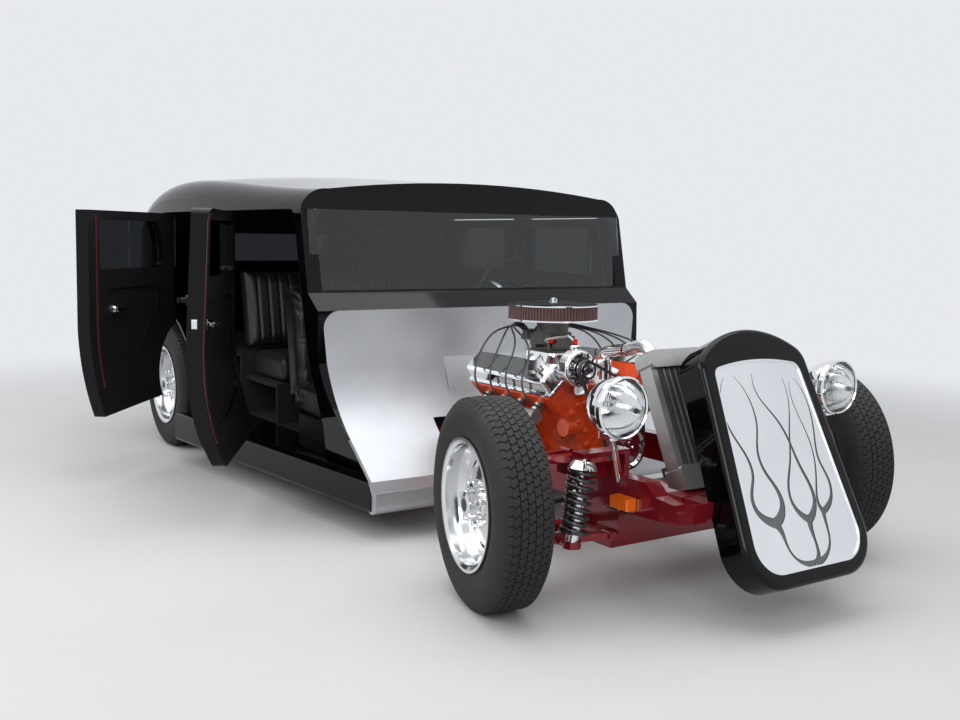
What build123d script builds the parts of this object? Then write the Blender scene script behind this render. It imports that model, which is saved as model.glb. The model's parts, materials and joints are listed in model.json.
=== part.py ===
"""Wide-body, chopped four-door hot rod with an open V8, as separate pieces in one frame.

Millimetres. +X forward, +Y to the car's left, +Z up. The origin is the centre of the front
jacking pad, on the centreline under the front crossmember, in line with the front axle.
The floor lies pad_height below the origin, so up(h) is the z of a point h above the floor.
The right-hand doors stand open and the front wheels are turned, as the car stands on show.
"""
import os
from math import atan2, cos, radians, sin, sqrt

from build123d import *

os.makedirs("parts", exist_ok=True)

# Wheels and stance
pad_height = 150
wheelbase = 3100
front_track = 1546
rear_track = 1540
tyre_radius = 337.5
tyre_width = 180
tread_width = 150
rim_radius = 211.5
rim_width = 176
rim_wall = 7
wheel_slots = 10
steer_rest = -12.3
kingpin_inset = 60
steer_arm = 120
arm_inset = 45
arm_height_steer = 250

# Frame
rail_width = 60
rail_height = 100
rail_y = 330
crossmember_depth = 190
pad_width = 80
pad_drop = 6
rail_top_cabin = 215
rail_top_rear = 530
horn_tip_x = 465

# Body
wall = 62
roof_wall = 45
door_gap = 6
free_edge_gap = 9
body_bottom = 245
tuck = 100
tuck_height = 720
sill_bottom = 105
windscreen_bottom = 943
windscreen_top = 1272
glass_thickness = 6
hinge_offset = 14
hinge_knuckle = 40
pillar_width = 60
rear_door_bottom = 312
window_sill = 992
roof_front_x = -1312
windscreen_foot_x = -1246
windscreen_head_x = -1294
windscreen_half = 815
firewall_top = 868
firewall_top_x = -1150
firewall_thickness = 30
firewall_half_top = 815
firewall_half_foot = 752
firewall_corner = 70
roll_radius = 38
back_joint = -3530
rear_glass_width = 760
rear_glass_height = 170
hinge_radius = 10
front_hinge_x = -2100
rear_hinge_x = -2905
front_door_open = 32
rear_door_open = 50
arch_radius = 400

# Engine and front end
crank_height = 400
engine_front_x = -352
engine_length = 540
bank_angle = 45
air_cleaner_radius = 182
air_cleaner_x = -718
air_cleaner_height = 838
headlamp_radius = 98
grille_top_x = 371
grille_top_height = 762
grille_slant = 25.1

# Clearance between pieces of different bodies that touch
soft_gap = 0.3


def up(height):
    """z of a point that lies this far above the floor."""
    return height - pad_height


def save(builder, label):
    """Label a finished piece and write it."""
    builder.part.label = label
    export_step(builder.part, f"parts/{label}.step")


def side_plane(y=0):
    """Side-view plane at y: local x is the car's X, local y is up."""
    return Plane(origin=(0, y, 0), x_dir=(1, 0, 0), z_dir=(0, -1, 0))


def cross_plane(x):
    """Cross-section plane at x: local x is the car's Y, local y is up."""
    return Plane(origin=(x, 0, 0), x_dir=(0, 1, 0), z_dir=(1, 0, 0))


# Body form
# Sections from the nose of the cowl to the tail. Columns: x, half width at the belt,
# height of the roof's shoulder, height of its crown, height of the lower edge
body_sections = [
    (-640, 800, 1330, 1378, 245),
    (-1340, 846, 1345, 1402, 245),
    (-2300, 890, 1405, 1460, 245),
    (-3000, 902, 1398, 1448, 245),
    (-3520, 850, 1235, 1275, 275),
    (-3900, 640, 800, 822, 350),
]
shoulder_inset = 130
tail_wall = 60


def body_section(x, half_width, shoulder, crown, bottom):
    """Closed cross-section: flat underside, tucked-in lower side, upright side, domed roof."""
    corner = half_width - shoulder_inset
    low = half_width - tuck
    tuck_end = min(tuck_height, (bottom + shoulder) / 2)
    top_of_side = shoulder - shoulder_inset * 0.62
    with BuildSketch(cross_plane(x)) as section:
        with BuildLine():
            Line((-low, up(bottom)), (low, up(bottom)))
            for side in (1, -1):
                ThreePointArc(
                    (side * low, up(bottom)),
                    (side * (half_width - tuck * 0.27), up((bottom + tuck_end) / 2)),
                    (side * half_width, up(tuck_end)),
                )
                Line((side * half_width, up(tuck_end)), (side * (half_width - 6), up(top_of_side)))
                ThreePointArc(
                    (side * (half_width - 6), up(top_of_side)),
                    (side * (half_width - shoulder_inset * 0.3), up(shoulder - shoulder_inset * 0.16)),
                    (side * corner, up(shoulder + 12)),
                )
            ThreePointArc((-corner, up(shoulder + 12)), (0, up(crown)), (corner, up(shoulder + 12)))
        make_face()
    return section.sketch


with BuildPart() as body_outer:
    loft([body_section(*row) for row in body_sections])


def inner_form(side_wall):
    """The hollow inside the body for a given thickness of its sides."""
    rows = []
    for x, half_width, shoulder, crown, bottom in body_sections:
        tail = tail_wall if x == body_sections[-1][0] else 0
        rows.append((x + tail, half_width - side_wall, shoulder - roof_wall, crown - roof_wall, bottom - 30))
    with BuildPart() as hollow:
        loft([body_section(*row) for row in rows])
    return hollow.part


with BuildPart() as body_inner:
    add(inner_form(wall))


# Regions that the body form is split by
def prism(points, radius=0, reach=1100, edge=0):
    """Side-view outline run through the whole car; edge grows it all round."""
    with BuildPart() as region:
        with BuildSketch(side_plane()):
            with BuildLine():
                if radius:
                    FilletPolyline(*points, radius=radius, close=True)
                else:
                    Polyline(*points, close=True)
            make_face()
            if edge:
                offset(amount=edge, kind=Kind.INTERSECTION)
        extrude(amount=reach, both=True)
    return region.part


def block(x_span, y_span, z_span):
    """Plain box between two x, two y and two z values."""
    with BuildPart() as box:
        with Locations((sum(x_span) / 2, sum(y_span) / 2, sum(z_span) / 2)):
            Box(x_span[1] - x_span[0], y_span[1] - y_span[0], z_span[1] - z_span[0])
    return box.part


def firewall_curve(shift):
    """Front line of the cabin below the belt, upright at the top and swept forward at the foot."""
    belt = (firewall_top_x - shift, up(firewall_top))
    knee = (firewall_top_x - shift + 5, up(660))
    waist = (firewall_top_x - shift + 78, up(480))
    shin = (firewall_top_x - shift + 195, up(350))
    foot = (firewall_top_x - shift + 318, up(235))
    toe = (firewall_top_x - shift + 340, up(180))
    Polyline(belt, knee)
    ThreePointArc(knee, waist, shin)
    Polyline(shin, foot, toe)
    return belt, toe


with BuildPart() as cabin_region:
    with BuildSketch(side_plane()):
        with BuildLine():
            belt_point, toe_point = firewall_curve(0)
            Polyline(
                toe_point,
                (toe_point[0], up(sill_bottom)),
                (-4200, up(sill_bottom)),
                (-4200, up(1600)),
                (roof_front_x, up(1600)),
                (roof_front_x, up(windscreen_top + 30)),
                (windscreen_foot_x + 11, up(windscreen_bottom - 8)),
                belt_point,
            )
        make_face()
    extrude(amount=1100, both=True)

front_door_outline = [
    (-1375, up(windscreen_top - door_gap)),
    (front_hinge_x + door_gap / 2, up(windscreen_top - door_gap)),
    (front_hinge_x + door_gap / 2, up(body_bottom + door_gap)),
    (-1262, up(body_bottom + door_gap)),
    (-1200, up(400)),
    (-1205, up(540)),
    (-1300, up(930)),
]
front_door_front = -1200
rear_door_front = front_hinge_x - pillar_width
rear_door_outline = [
    (rear_door_front - free_edge_gap, up(windscreen_top - door_gap)),
    (rear_hinge_x + door_gap / 2, up(windscreen_top - door_gap)),
    (rear_hinge_x + door_gap / 2, up(360)),
    (rear_door_front - free_edge_gap, up(rear_door_bottom)),
]
with BuildPart() as arch_cut:
    with BuildSketch(side_plane()):
        with Locations((-wheelbase, up(tyre_radius))):
            Circle(arch_radius)
        with Locations((-wheelbase, up(tyre_radius) - 300)):
            Rectangle(2 * arch_radius, 600)
    extrude(amount=1100, both=True)
with BuildPart() as arch_clearance:
    with BuildSketch(side_plane()):
        with Locations((-wheelbase, up(tyre_radius))):
            Circle(arch_radius + door_gap + 2)
    extrude(amount=1100, both=True)

front_window_outline = [
    (-1466, up(1222)),
    (-2035, up(1222)),
    (-2035, up(window_sill)),
    (-1432, up(window_sill)),
]
rear_window_outline = [
    (-2238, up(1222)),
    (-2750, up(1222)),
    (-2800, up(1100)),
    (-2800, up(window_sill)),
    (-2238, up(window_sill)),
]

with BuildPart() as shell:
    add(body_outer.part)
    add(body_inner.part, mode=Mode.SUBTRACT)
    add(cabin_region.part, mode=Mode.INTERSECT)
with BuildPart() as cabin_solid:
    add(body_outer.part)
    add(cabin_region.part, mode=Mode.INTERSECT)

everywhere = (-1100, 1100)
above_sill = (up(body_bottom), up(windscreen_top))
front_opening = prism(front_door_outline, radius=35, edge=door_gap)
free_outline = [(x + free_edge_gap - door_gap, z) for x, z in front_door_outline]
front_opening_free = prism(free_outline, radius=35, edge=door_gap)
rear_opening = prism(rear_door_outline, edge=door_gap)

# Windscreen, one flat pane with its lower edge forward
with BuildPart() as windscreen:
    with BuildSketch(side_plane()):
        with BuildLine():
            Polyline(
                (windscreen_foot_x, up(windscreen_bottom)),
                (windscreen_head_x, up(windscreen_top)),
                (windscreen_head_x - glass_thickness, up(windscreen_top)),
                (windscreen_foot_x - glass_thickness, up(windscreen_bottom)),
                close=True,
            )
        make_face()
    extrude(amount=windscreen_half, both=True)
save(windscreen, "windscreen")

# Cowl: windscreen pillars, belt under the glass and the panels ahead of the front doors
belt_heights = (up(firewall_top - 2), up(windscreen_bottom))
with BuildPart() as belt:
    add(cabin_solid.part)
    add(block((-1310, -1000), everywhere, belt_heights), mode=Mode.INTERSECT)
with BuildPart() as cowl:
    add(shell.part)
    add(block((-1500, -500), everywhere, above_sill), mode=Mode.INTERSECT)
    add(belt.part)
    add(front_opening_free, mode=Mode.SUBTRACT)
    add(front_opening, mode=Mode.SUBTRACT)
    add(windscreen.part, mode=Mode.SUBTRACT)

# Firewall panel with the roll along its foot
with BuildPart() as firewall_panel:
    with BuildSketch(side_plane()):
        with BuildLine():
            front_belt, front_toe = firewall_curve(0)
            back_belt, back_toe = firewall_curve(firewall_thickness)
            Line(front_belt, back_belt)
            Line(front_toe, back_toe)
        make_face()
    extrude(amount=900, both=True)
    with BuildSketch(cross_plane(-1400)):
        with BuildLine():
            FilletPolyline(
                (-firewall_half_foot, up(150)),
                (-firewall_half_top, up(firewall_top)),
                (firewall_half_top, up(firewall_top)),
                (firewall_half_foot, up(150)),
                radius=firewall_corner,
            )
            Line((firewall_half_foot, up(150)), (-firewall_half_foot, up(150)))
        make_face()
    extrude(amount=900, mode=Mode.INTERSECT)
    add(block((-1300, -600), (-370, 370), (up(100), up(425))), mode=Mode.SUBTRACT)
    add(block((-1300, -600), (-250, 250), (up(420), up(640))), mode=Mode.SUBTRACT)
    for side in (1, -1):
        with BuildSketch(Plane.XZ.offset(-side * 370)):
            with Locations((front_toe[0] - roll_radius, up(sill_bottom + roll_radius))):
                Circle(roll_radius)
            with Locations((front_toe[0] - roll_radius, up(sill_bottom + roll_radius) + 25)):
                Rectangle(2 * roll_radius, 50)
        extrude(amount=-side * (firewall_half_foot - 370))
save(firewall_panel, "firewall_panel")

with BuildPart() as cowl_cut:
    add(cowl.part)
    add(firewall_panel.part, mode=Mode.SUBTRACT)
    add(block((-900, -600), everywhere, (up(100), up(body_bottom))), mode=Mode.SUBTRACT)
save(cowl_cut, "cowl")

# Roof with the header over the windscreen
with BuildPart() as header:
    add(cabin_solid.part)
    add(block((-1375, -1200), everywhere, (up(windscreen_top), up(1500))), mode=Mode.INTERSECT)
with BuildPart() as roof:
    add(shell.part)
    add(header.part)
    add(block((back_joint, -500), everywhere, (up(windscreen_top), up(1600))), mode=Mode.INTERSECT)
save(roof, "roof")

# Back panel and its window
with BuildPart() as rear_glass_form:
    with BuildSketch(cross_plane(-4100)):
        with Locations((0, up(1085))):
            RectangleRounded(rear_glass_width, rear_glass_height, 40)
    extrude(amount=700)
with BuildPart() as back_panel:
    add(shell.part)
    add(block((-4200, back_joint), everywhere, (up(sill_bottom), up(1600))), mode=Mode.INTERSECT)
    add(rear_glass_form.part, mode=Mode.SUBTRACT)
    add(arch_cut.part, mode=Mode.SUBTRACT)
save(back_panel, "back_panel")


def half_width_at(x):
    """Half width of the body at the belt, between the sections of the table."""
    for front, back in zip(body_sections, body_sections[1:]):
        if front[0] >= x >= back[0]:
            share = (front[0] - x) / (front[0] - back[0])
            return front[1] + share * (back[1] - front[1])
    return body_sections[-1][1]


def hinge_y(hinge_x):
    """Distance of a door's hinge pin from the centreline."""
    return half_width_at(hinge_x) + hinge_offset


def hinge_leaf(hinge_x, side, foot, heights):
    """Hinge barrels and the leaves that carry them: foot 1 is the door's, -1 the pillar's."""
    pin_y = hinge_y(hinge_x)
    with BuildPart() as leaf:
        for height in heights:
            base = up(height) if foot > 0 else up(height) - hinge_knuckle - soft_gap
            middle = base + hinge_knuckle / 2
            with Locations((hinge_x, side * pin_y, middle)):
                Cylinder(hinge_radius, hinge_knuckle)
            with Locations((hinge_x + foot * 24, side * (pin_y - 20), middle)):
                Box(28, 50, hinge_knuckle)
            with Locations((hinge_x + foot * 14, side * (pin_y + 2), middle)):
                Box(28, 6, hinge_knuckle)
    return leaf.part


# Columns: name, outline, corner radius, hinge x, front edge's x, hinge heights, rest angle on the right
front_hinges = (640, 1120)
rear_hinges = (780, 1120)
rear_free_x = rear_door_front - free_edge_gap
door_table = [
    ("front", front_door_outline, 35, front_hinge_x, front_door_front, front_hinges, front_door_open),
    ("rear", rear_door_outline, 0, rear_hinge_x, rear_free_x, rear_hinges, rear_door_open),
]
window_table = {"front": front_window_outline, "rear": rear_window_outline}
trim_table = {
    "front": [(-1985, up(470)), (-1985, up(900)), (-1330, up(900)), (-1330, up(400)), (-1640, up(400))],
    "rear": [(-2770, up(800)), (-2770, up(900)), (-2330, up(900)), (-2330, up(560)), (-2560, up(560))],
}
trim_depth = 8
trim_corner = 40
division_x = -1500
division_depth = 18
handle_table = {"front": -1330, "rear": -2320}
handle_height = 905


def door_handle(handle_x, side):
    """Lever handle on its escutcheon, near the door's free edge."""
    skin_y = half_width_at(handle_x)
    with BuildPart() as handle:
        with Locations((handle_x, side * (skin_y - 4), up(handle_height))):
            Cylinder(19, 26, rotation=(90, 0, 0))
        with Locations((handle_x, side * (skin_y + 20), up(handle_height))):
            Cylinder(9, 36, rotation=(90, 0, 0))
        with Locations((handle_x - 42, side * (skin_y + 36), up(handle_height))):
            Box(116, 12, 20)
        fillet(handle.edges().filter_by(Axis.Z), radius=5)
    return handle.part


def pane(hinge_x, front_x, side, thickness):
    """Slab at the middle of the door's wall, following the body's taper."""
    back_y = half_width_at(hinge_x) - wall / 2
    front_y = half_width_at(front_x) - wall / 2
    taper = atan2(back_y - front_y, front_x - hinge_x)
    middle = Plane(
        origin=((hinge_x + front_x) / 2, side * (back_y + front_y) / 2, up(1000)),
        x_dir=(cos(taper), -side * sin(taper), 0),
        z_dir=(0, 0, 1),
    )
    with BuildPart() as slab:
        with Locations(middle):
            Box(1500, thickness, 900)
    return slab.part


def division_bar(hinge_x, front_x, side):
    """Upright bar that parts the front door's window."""
    with BuildPart() as upright:
        add(pane(hinge_x, front_x, side, division_depth))
        add(block((division_x - 7, division_x + 7), everywhere, (up(900), up(1400))), mode=Mode.INTERSECT)
        add(prism(front_window_outline, radius=28), mode=Mode.INTERSECT)
    return upright.part


for name, outline, radius, hinge_x, front_x, heights, rest in door_table:
    window = prism(window_table[name], radius=28)
    with BuildPart() as trim_recess:
        add(inner_form(wall - trim_depth))
        add(prism(trim_table[name], radius=trim_corner), mode=Mode.INTERSECT)
    for side_name, side in (("left", 1), ("right", -1)):
        pin = (hinge_x, side * hinge_y(hinge_x), 0)
        turn = 0 if side > 0 else -rest
        with BuildPart() as closed:
            add(shell.part)
            add(prism(outline, radius=radius), mode=Mode.INTERSECT)
            with Locations((front_x - 600, side * 550, 500)):
                Box(2600, 1099, 2000, mode=Mode.INTERSECT)
            with Locations(pin):
                Cylinder(front_x - hinge_x, 4000, mode=Mode.INTERSECT)
            if name == "rear":
                add(arch_clearance.part, mode=Mode.SUBTRACT)
            add(trim_recess.part, mode=Mode.SUBTRACT)
            add(window, mode=Mode.SUBTRACT)
            if name == "front":
                add(division_bar(hinge_x, front_x, side))
            add(door_handle(handle_table[name], side))
            add(hinge_leaf(hinge_x, side, 1, heights))
        with BuildPart() as glass_closed:
            add(window)
            add(pane(hinge_x, front_x, side, glass_thickness), mode=Mode.INTERSECT)
            if name == "front":
                add(division_bar(hinge_x, front_x, side), mode=Mode.SUBTRACT)
        with BuildPart() as door:
            add(closed.part.rotate(Axis(pin, (0, 0, 1)), turn))
        with BuildPart() as glass:
            add(glass_closed.part.rotate(Axis(pin, (0, 0, 1)), turn))
        save(door, f"door_{name}_{side_name}")
        save(glass, f"door_glass_{name}_{side_name}")

# Body sides: centre pillar and rear quarter with its wheel tub
tub_inner_y = 610
tub_bottom = 385
tub_outer_y = half_width_at(-wheelbase) - wall + 4
with BuildPart() as rear_door_space:
    add(rear_opening)
    add(body_outer.part, mode=Mode.INTERSECT)
    add(inner_form(wall + door_gap), mode=Mode.SUBTRACT)
for side_name, side in (("left", 1), ("right", -1)):
    with BuildPart() as tub:
        with BuildSketch(side_plane(side * tub_inner_y)):
            with Locations((-wheelbase, up(tyre_radius))):
                Circle(arch_radius + 14)
        extrude(amount=-side * (tub_outer_y - tub_inner_y))
        with Locations((-wheelbase, side * 700, up(tub_bottom) - 500)):
            Box(1200, 600, 1000, mode=Mode.SUBTRACT)
    with BuildPart() as body_side:
        add(shell.part)
        with Locations(((back_joint - 1500) / 2, side * 550, (up(body_bottom) + up(windscreen_top)) / 2)):
            Box(-1500 - back_joint, 1099, windscreen_top - body_bottom, mode=Mode.INTERSECT)
        add(front_opening, mode=Mode.SUBTRACT)
        add(rear_opening, mode=Mode.SUBTRACT)
        add(block((rear_hinge_x, rear_door_front), everywhere, (up(100), up(400))), mode=Mode.SUBTRACT)
        add(tub.part)
        with BuildSketch(side_plane(side * (tub_inner_y + 12))):
            with Locations((-wheelbase, up(tyre_radius))):
                Circle(arch_radius)
            with Locations((-wheelbase, up(tyre_radius) - 300)):
                Rectangle(2 * arch_radius, 600)
        extrude(amount=-side * 500, mode=Mode.SUBTRACT)
        add(rear_door_space.part, mode=Mode.SUBTRACT)
        for hinge_x, heights in ((front_hinge_x, front_hinges), (rear_hinge_x, rear_hinges)):
            add(hinge_leaf(hinge_x, side, -1, heights))
    save(body_side, f"body_side_{side_name}")


# Sills: the ledge under the doors, wider towards the rear wheels
sill_front_x = -848
sill_rear_x = -2680
sill_front_half = 757
sill_rear_half = 930
sill_inner_half = 600
with BuildPart() as sills:
    with BuildSketch(Plane.XY.offset(up(sill_bottom))):
        with BuildLine():
            Polyline(
                (sill_front_x, sill_inner_half),
                (sill_front_x, sill_front_half),
                (sill_rear_x, sill_rear_half),
                (sill_rear_x, sill_inner_half),
                close=True,
            )
        make_face()
    extrude(amount=body_bottom - sill_bottom)
    outer_edge = sills.edges().filter_by(lambda edge: abs(edge.tangent_at(0.5).Z) < 0.1)
    outer_edge = outer_edge.sort_by(lambda edge: edge.center().Y)[-2:]
    fillet(outer_edge, radius=24)
    add(arch_cut.part, mode=Mode.SUBTRACT)
    add(firewall_panel.part, mode=Mode.SUBTRACT)
    mirror(about=Plane.XZ)
save(sills, "sills")

# Floor: pan, toe board, tunnel, seat riser and rear shelf
floor_top = 235
floor_thickness = 20
toe_board_x = -1205
riser_x = -2595
shelf_top = 550
tunnel_half = 165
tunnel_top = 475
tunnel_rear_top = 412
tunnel_step_x = -1800
seat_base_x = -2180
seat_base_top = 432
tail_x = -3780
tunnel_steps = [
    (toe_board_x + 20, tunnel_step_x, tunnel_top),
    (tunnel_step_x, riser_x - 20, tunnel_rear_top),
]
floor_underside = up(floor_top - floor_thickness)
with BuildPart() as floor:
    with Locations(((toe_board_x + riser_x) / 2, 0, up(floor_top) - floor_thickness / 2)):
        Box(toe_board_x - riser_x, 2 * sill_inner_half, floor_thickness)
    with Locations((toe_board_x + 10, 0, up((floor_top - floor_thickness + 650) / 2))):
        Box(20, 2 * sill_inner_half, 650 - floor_top + floor_thickness)
    with Locations((riser_x - 10, 0, up((floor_top - floor_thickness + shelf_top) / 2))):
        Box(20, 2 * sill_inner_half, shelf_top - floor_top + floor_thickness)
    with Locations(((riser_x + tail_x) / 2, 0, up(shelf_top) - floor_thickness / 2)):
        Box(riser_x - tail_x, 2 * sill_inner_half, floor_thickness)
    with Locations((seat_base_x - 10, 0, up((floor_top + seat_base_top) / 2))):
        Box(20, 1150, seat_base_top - floor_top)
    with Locations(((seat_base_x + riser_x) / 2, 0, up(seat_base_top) - 10)):
        Box(seat_base_x - riser_x, 1150, 20)
    for front, back, top in tunnel_steps:
        for shrink, mode in ((0, Mode.ADD), (12, Mode.SUBTRACT)):
            with BuildSketch(cross_plane(back)):
                with BuildLine():
                    Polyline(
                        (-tunnel_half + shrink, up(floor_top - 40)),
                        (-tunnel_half + shrink, up(floor_top)),
                        (-110 + shrink, up(top - shrink)),
                        (110 - shrink, up(top - shrink)),
                        (tunnel_half - shrink, up(floor_top)),
                        (tunnel_half - shrink, up(floor_top - 40)),
                        close=True,
                    )
                make_face()
            extrude(amount=front - back, mode=mode)
    add(block((-2700, -1100), (-tunnel_half, tunnel_half), (up(0), floor_underside)), mode=Mode.SUBTRACT)
save(floor, "floor")

# Front suspension
axle_height = tyre_radius
kingpin_y = front_track / 2 - kingpin_inset
lower_arm_height = 205
upper_arm_height = 462
arm_thickness = 24
coil_x = 122
coil_top = Vector(coil_x, 505, up(478))
coil_foot = Vector(coil_x, 545, up(lower_arm_height + arm_thickness / 2 - 10))
# Columns: height of the arm, its pivots' y and their distance from the axle line
arm_table = [(lower_arm_height, rail_y + 46.3, 120), (upper_arm_height, rail_y + 115, 60)]
with BuildPart() as control_arms:
    for height, pivot_y, pivot_x in arm_table:
        with BuildSketch(Plane.XY.offset(up(height) - arm_thickness / 2)):
            with BuildLine():
                Polyline((pivot_x, pivot_y), (20, kingpin_y), (-20, kingpin_y), (-pivot_x, pivot_y),
                         (-pivot_x + 34, pivot_y), (0, kingpin_y - 90), (pivot_x - 34, pivot_y), close=True)
            make_face()
            with Locations((0, kingpin_y)):
                Circle(24)
            if height == lower_arm_height:
                with Locations((coil_foot.X, coil_foot.Y)):
                    Circle(30)
                with Locations((coil_foot.X - 40, coil_foot.Y - 5)):
                    Rectangle(80, 44)
        extrude(amount=arm_thickness)
        for end in (1, -1):
            with Locations((end * (pivot_x - 17), pivot_y, up(height))):
                Cylinder(16, 50, rotation=(0, 90, 0))
    mirror(about=Plane.XZ)
save(control_arms, "control_arms")

# Coil-over dampers: body, rod, lower perch, wound spring and a conical cap
spring_radius = 40
spring_wire = 6.5
spring_turns = 6
coil_axis = (coil_top - coil_foot).normalized()
coil_plane = Plane(origin=coil_foot, z_dir=coil_axis)
coil_length = (coil_top - coil_foot).length
perch_distance = 40
cap_distance = coil_length - 34
with BuildPart() as front_coilovers:
    with BuildSketch(coil_plane):
        Circle(22)
    extrude(amount=coil_length * 0.55)
    with BuildSketch(coil_plane):
        Circle(11)
    extrude(amount=coil_length)
    with BuildSketch(coil_plane.offset(perch_distance - 6)):
        Circle(spring_radius + spring_wire + 2)
    extrude(amount=8)
    with BuildSketch(coil_plane.offset(cap_distance)):
        Circle(spring_radius + spring_wire + 2)
    extrude(amount=26, taper=35)
    spring_height = cap_distance - perch_distance
    with BuildLine(coil_plane.offset(perch_distance)) as winding:
        Helix(pitch=spring_height / spring_turns, height=spring_height, radius=spring_radius)
    with BuildSketch(Plane(origin=winding.line @ 0, z_dir=winding.line % 0)):
        Circle(spring_wire)
    sweep(path=winding.line, is_frenet=True)
    add(block((0, 200), (400, 650), (up(100), up(lower_arm_height) + arm_thickness / 2)), mode=Mode.SUBTRACT)
    add(block((0, 200), (300, 650), (up(482), up(600))), mode=Mode.SUBTRACT)
    mirror(about=Plane.XZ)
save(front_coilovers, "front_coilovers")

# Knuckles, wheels and tyres. Wheel profiles: a is measured outward along the axle, r from it
spindle_radius = 18
bearing_gap = 0.8
disc_radius = 132
bead_radius = 198
drop_radius = 178
lip_radius = bead_radius - rim_wall
seat_radius = bead_radius + rim_wall


def wheel_plane(hub, outward):
    """Plane through the axle: local x runs outward along it, local y is up."""
    return Plane(origin=hub, x_dir=outward, z_dir=outward.cross(Vector(0, 0, 1)))


def make_tyre(hub, outward):
    """Tyre: flat tread, rounded shoulders, bulging sidewalls, open in the middle for the rim."""
    tread = tread_width / 2
    section = tyre_width / 2
    bead = rim_width / 2 - rim_wall - 7
    seat = bead_radius + rim_wall + soft_gap
    shoulder = tread * 0.86
    with BuildPart() as tyre:
        with BuildSketch(wheel_plane(hub, outward)):
            with BuildLine():
                Line((-bead, seat), (bead, seat))
                for side in (1, -1):
                    ThreePointArc((side * bead, seat), (side * section, tyre_radius - 68),
                                  (side * (tread + 4), tyre_radius - 20))
                    Line((side * (tread + 4), tyre_radius - 20), (side * shoulder, tyre_radius - 3))
                ThreePointArc((-shoulder, tyre_radius - 3), (0, tyre_radius), (shoulder, tyre_radius - 3))
            make_face()
        revolve(axis=Axis(hub, outward))
    return tyre.part


def make_wheel(hub, outward):
    """Deep-lipped rim with a slotted centre, hub cap, hub and brake disc."""
    half = rim_width / 2
    bore = spindle_radius + bearing_gap
    with BuildPart() as wheel:
        plane = wheel_plane(hub, outward)
        with BuildSketch(plane):
            with BuildLine():
                Polyline(
                    (-half, rim_radius), (-half, rim_radius - rim_wall), (-half + rim_wall + 2, bead_radius),
                    (-half + 40, bead_radius), (-half + 60, drop_radius), (half - 80, drop_radius),
                    (half - 50, lip_radius), (half - rim_wall, lip_radius),
                    (half, rim_radius - rim_wall - 2), (half, rim_radius),
                    (half - rim_wall, rim_radius), (half - rim_wall - 2, seat_radius),
                    (half - 50, seat_radius), (half - 76, drop_radius + rim_wall),
                    (-half + 64, drop_radius + rim_wall), (-half + 44, seat_radius),
                    (-half + rim_wall + 2, seat_radius), (-half + rim_wall, rim_radius), close=True,
                )
            make_face()
            with BuildLine():
                Polyline(
                    (20, 0), (36, 0), (38, 78), (30, 118), (14, 152), (14, 182), (2, 182), (2, 150),
                    (18, 112), (24, 78), close=True,
                )
            make_face()
            with BuildLine():
                Polyline((-14, bore), (26, bore), (26, 74), (-14, 74), close=True)
            make_face()
            with BuildLine():
                Polyline(
                    (-30, 40), (-14, bore), (-12, 60), (-14, disc_radius), (-30, disc_radius), close=True
                )
            make_face()
        revolve(axis=Axis(hub, outward))
        with BuildSketch(Plane(origin=hub + outward * 60, x_dir=(0, 0, 1), z_dir=outward)):
            with PolarLocations(134, wheel_slots):
                SlotOverall(38, 22, rotation=90)
        extrude(amount=-70, mode=Mode.SUBTRACT)
        with BuildSketch(plane):
            with BuildLine():
                Polyline((30, 0), (86, 0), (86, 26), (82, 40), (44, 42), (36, 48), (30, 48), close=True)
            make_face()
        revolve(axis=Axis(hub, outward))
        with BuildSketch(Plane(origin=hub + outward * 30, x_dir=(0, 0, 1), z_dir=outward)):
            with PolarLocations(64, 5):
                Circle(10)
        extrude(amount=26)
    return wheel.part


def make_knuckle(hub, outward, side):
    """Upright between the ball joints with the spindle, steering arm and calliper."""
    pin = hub - outward * kingpin_inset
    lower = up(lower_arm_height) + arm_thickness / 2 + soft_gap
    upper = up(upper_arm_height) - arm_thickness / 2 - soft_gap
    with BuildPart() as knuckle:
        with Locations((pin.X, pin.Y, (lower + upper) / 2)):
            Box(56, 26, upper - lower)
            Cylinder(22, upper - lower)
        with BuildSketch(Plane(origin=pin, x_dir=(0, 0, 1), z_dir=outward)):
            Circle(spindle_radius)
        extrude(amount=kingpin_inset - 4)
        with BuildSketch(Plane(origin=pin, x_dir=(0, 0, 1), z_dir=outward)):
            Circle(34)
        extrude(amount=kingpin_inset - 34)
        with BuildSketch(Plane.XY.offset(up(arm_height_steer))):
            with BuildLine():
                Polyline(
                    (-20, pin.Y + 10 * side),
                    (-steer_arm - 16, pin.Y - side * (arm_inset - 13)),
                    (-steer_arm - 16, pin.Y - side * (arm_inset + 13)),
                    (-20, pin.Y - side * 16),
                    close=True,
                )
            make_face()
        extrude(amount=14)
        with Locations((pin.X + 118, pin.Y + side * 30, hub.Z)):
            Box(64, 58, 100)
        with Locations((pin.X + 98, pin.Y + side * 38.5, hub.Z)):
            Box(84, 24, 120, mode=Mode.SUBTRACT)
        with Locations((pin.X + 60, pin.Y + side * 6, hub.Z)):
            Box(80, 16, 60)
    return knuckle.part


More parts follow.
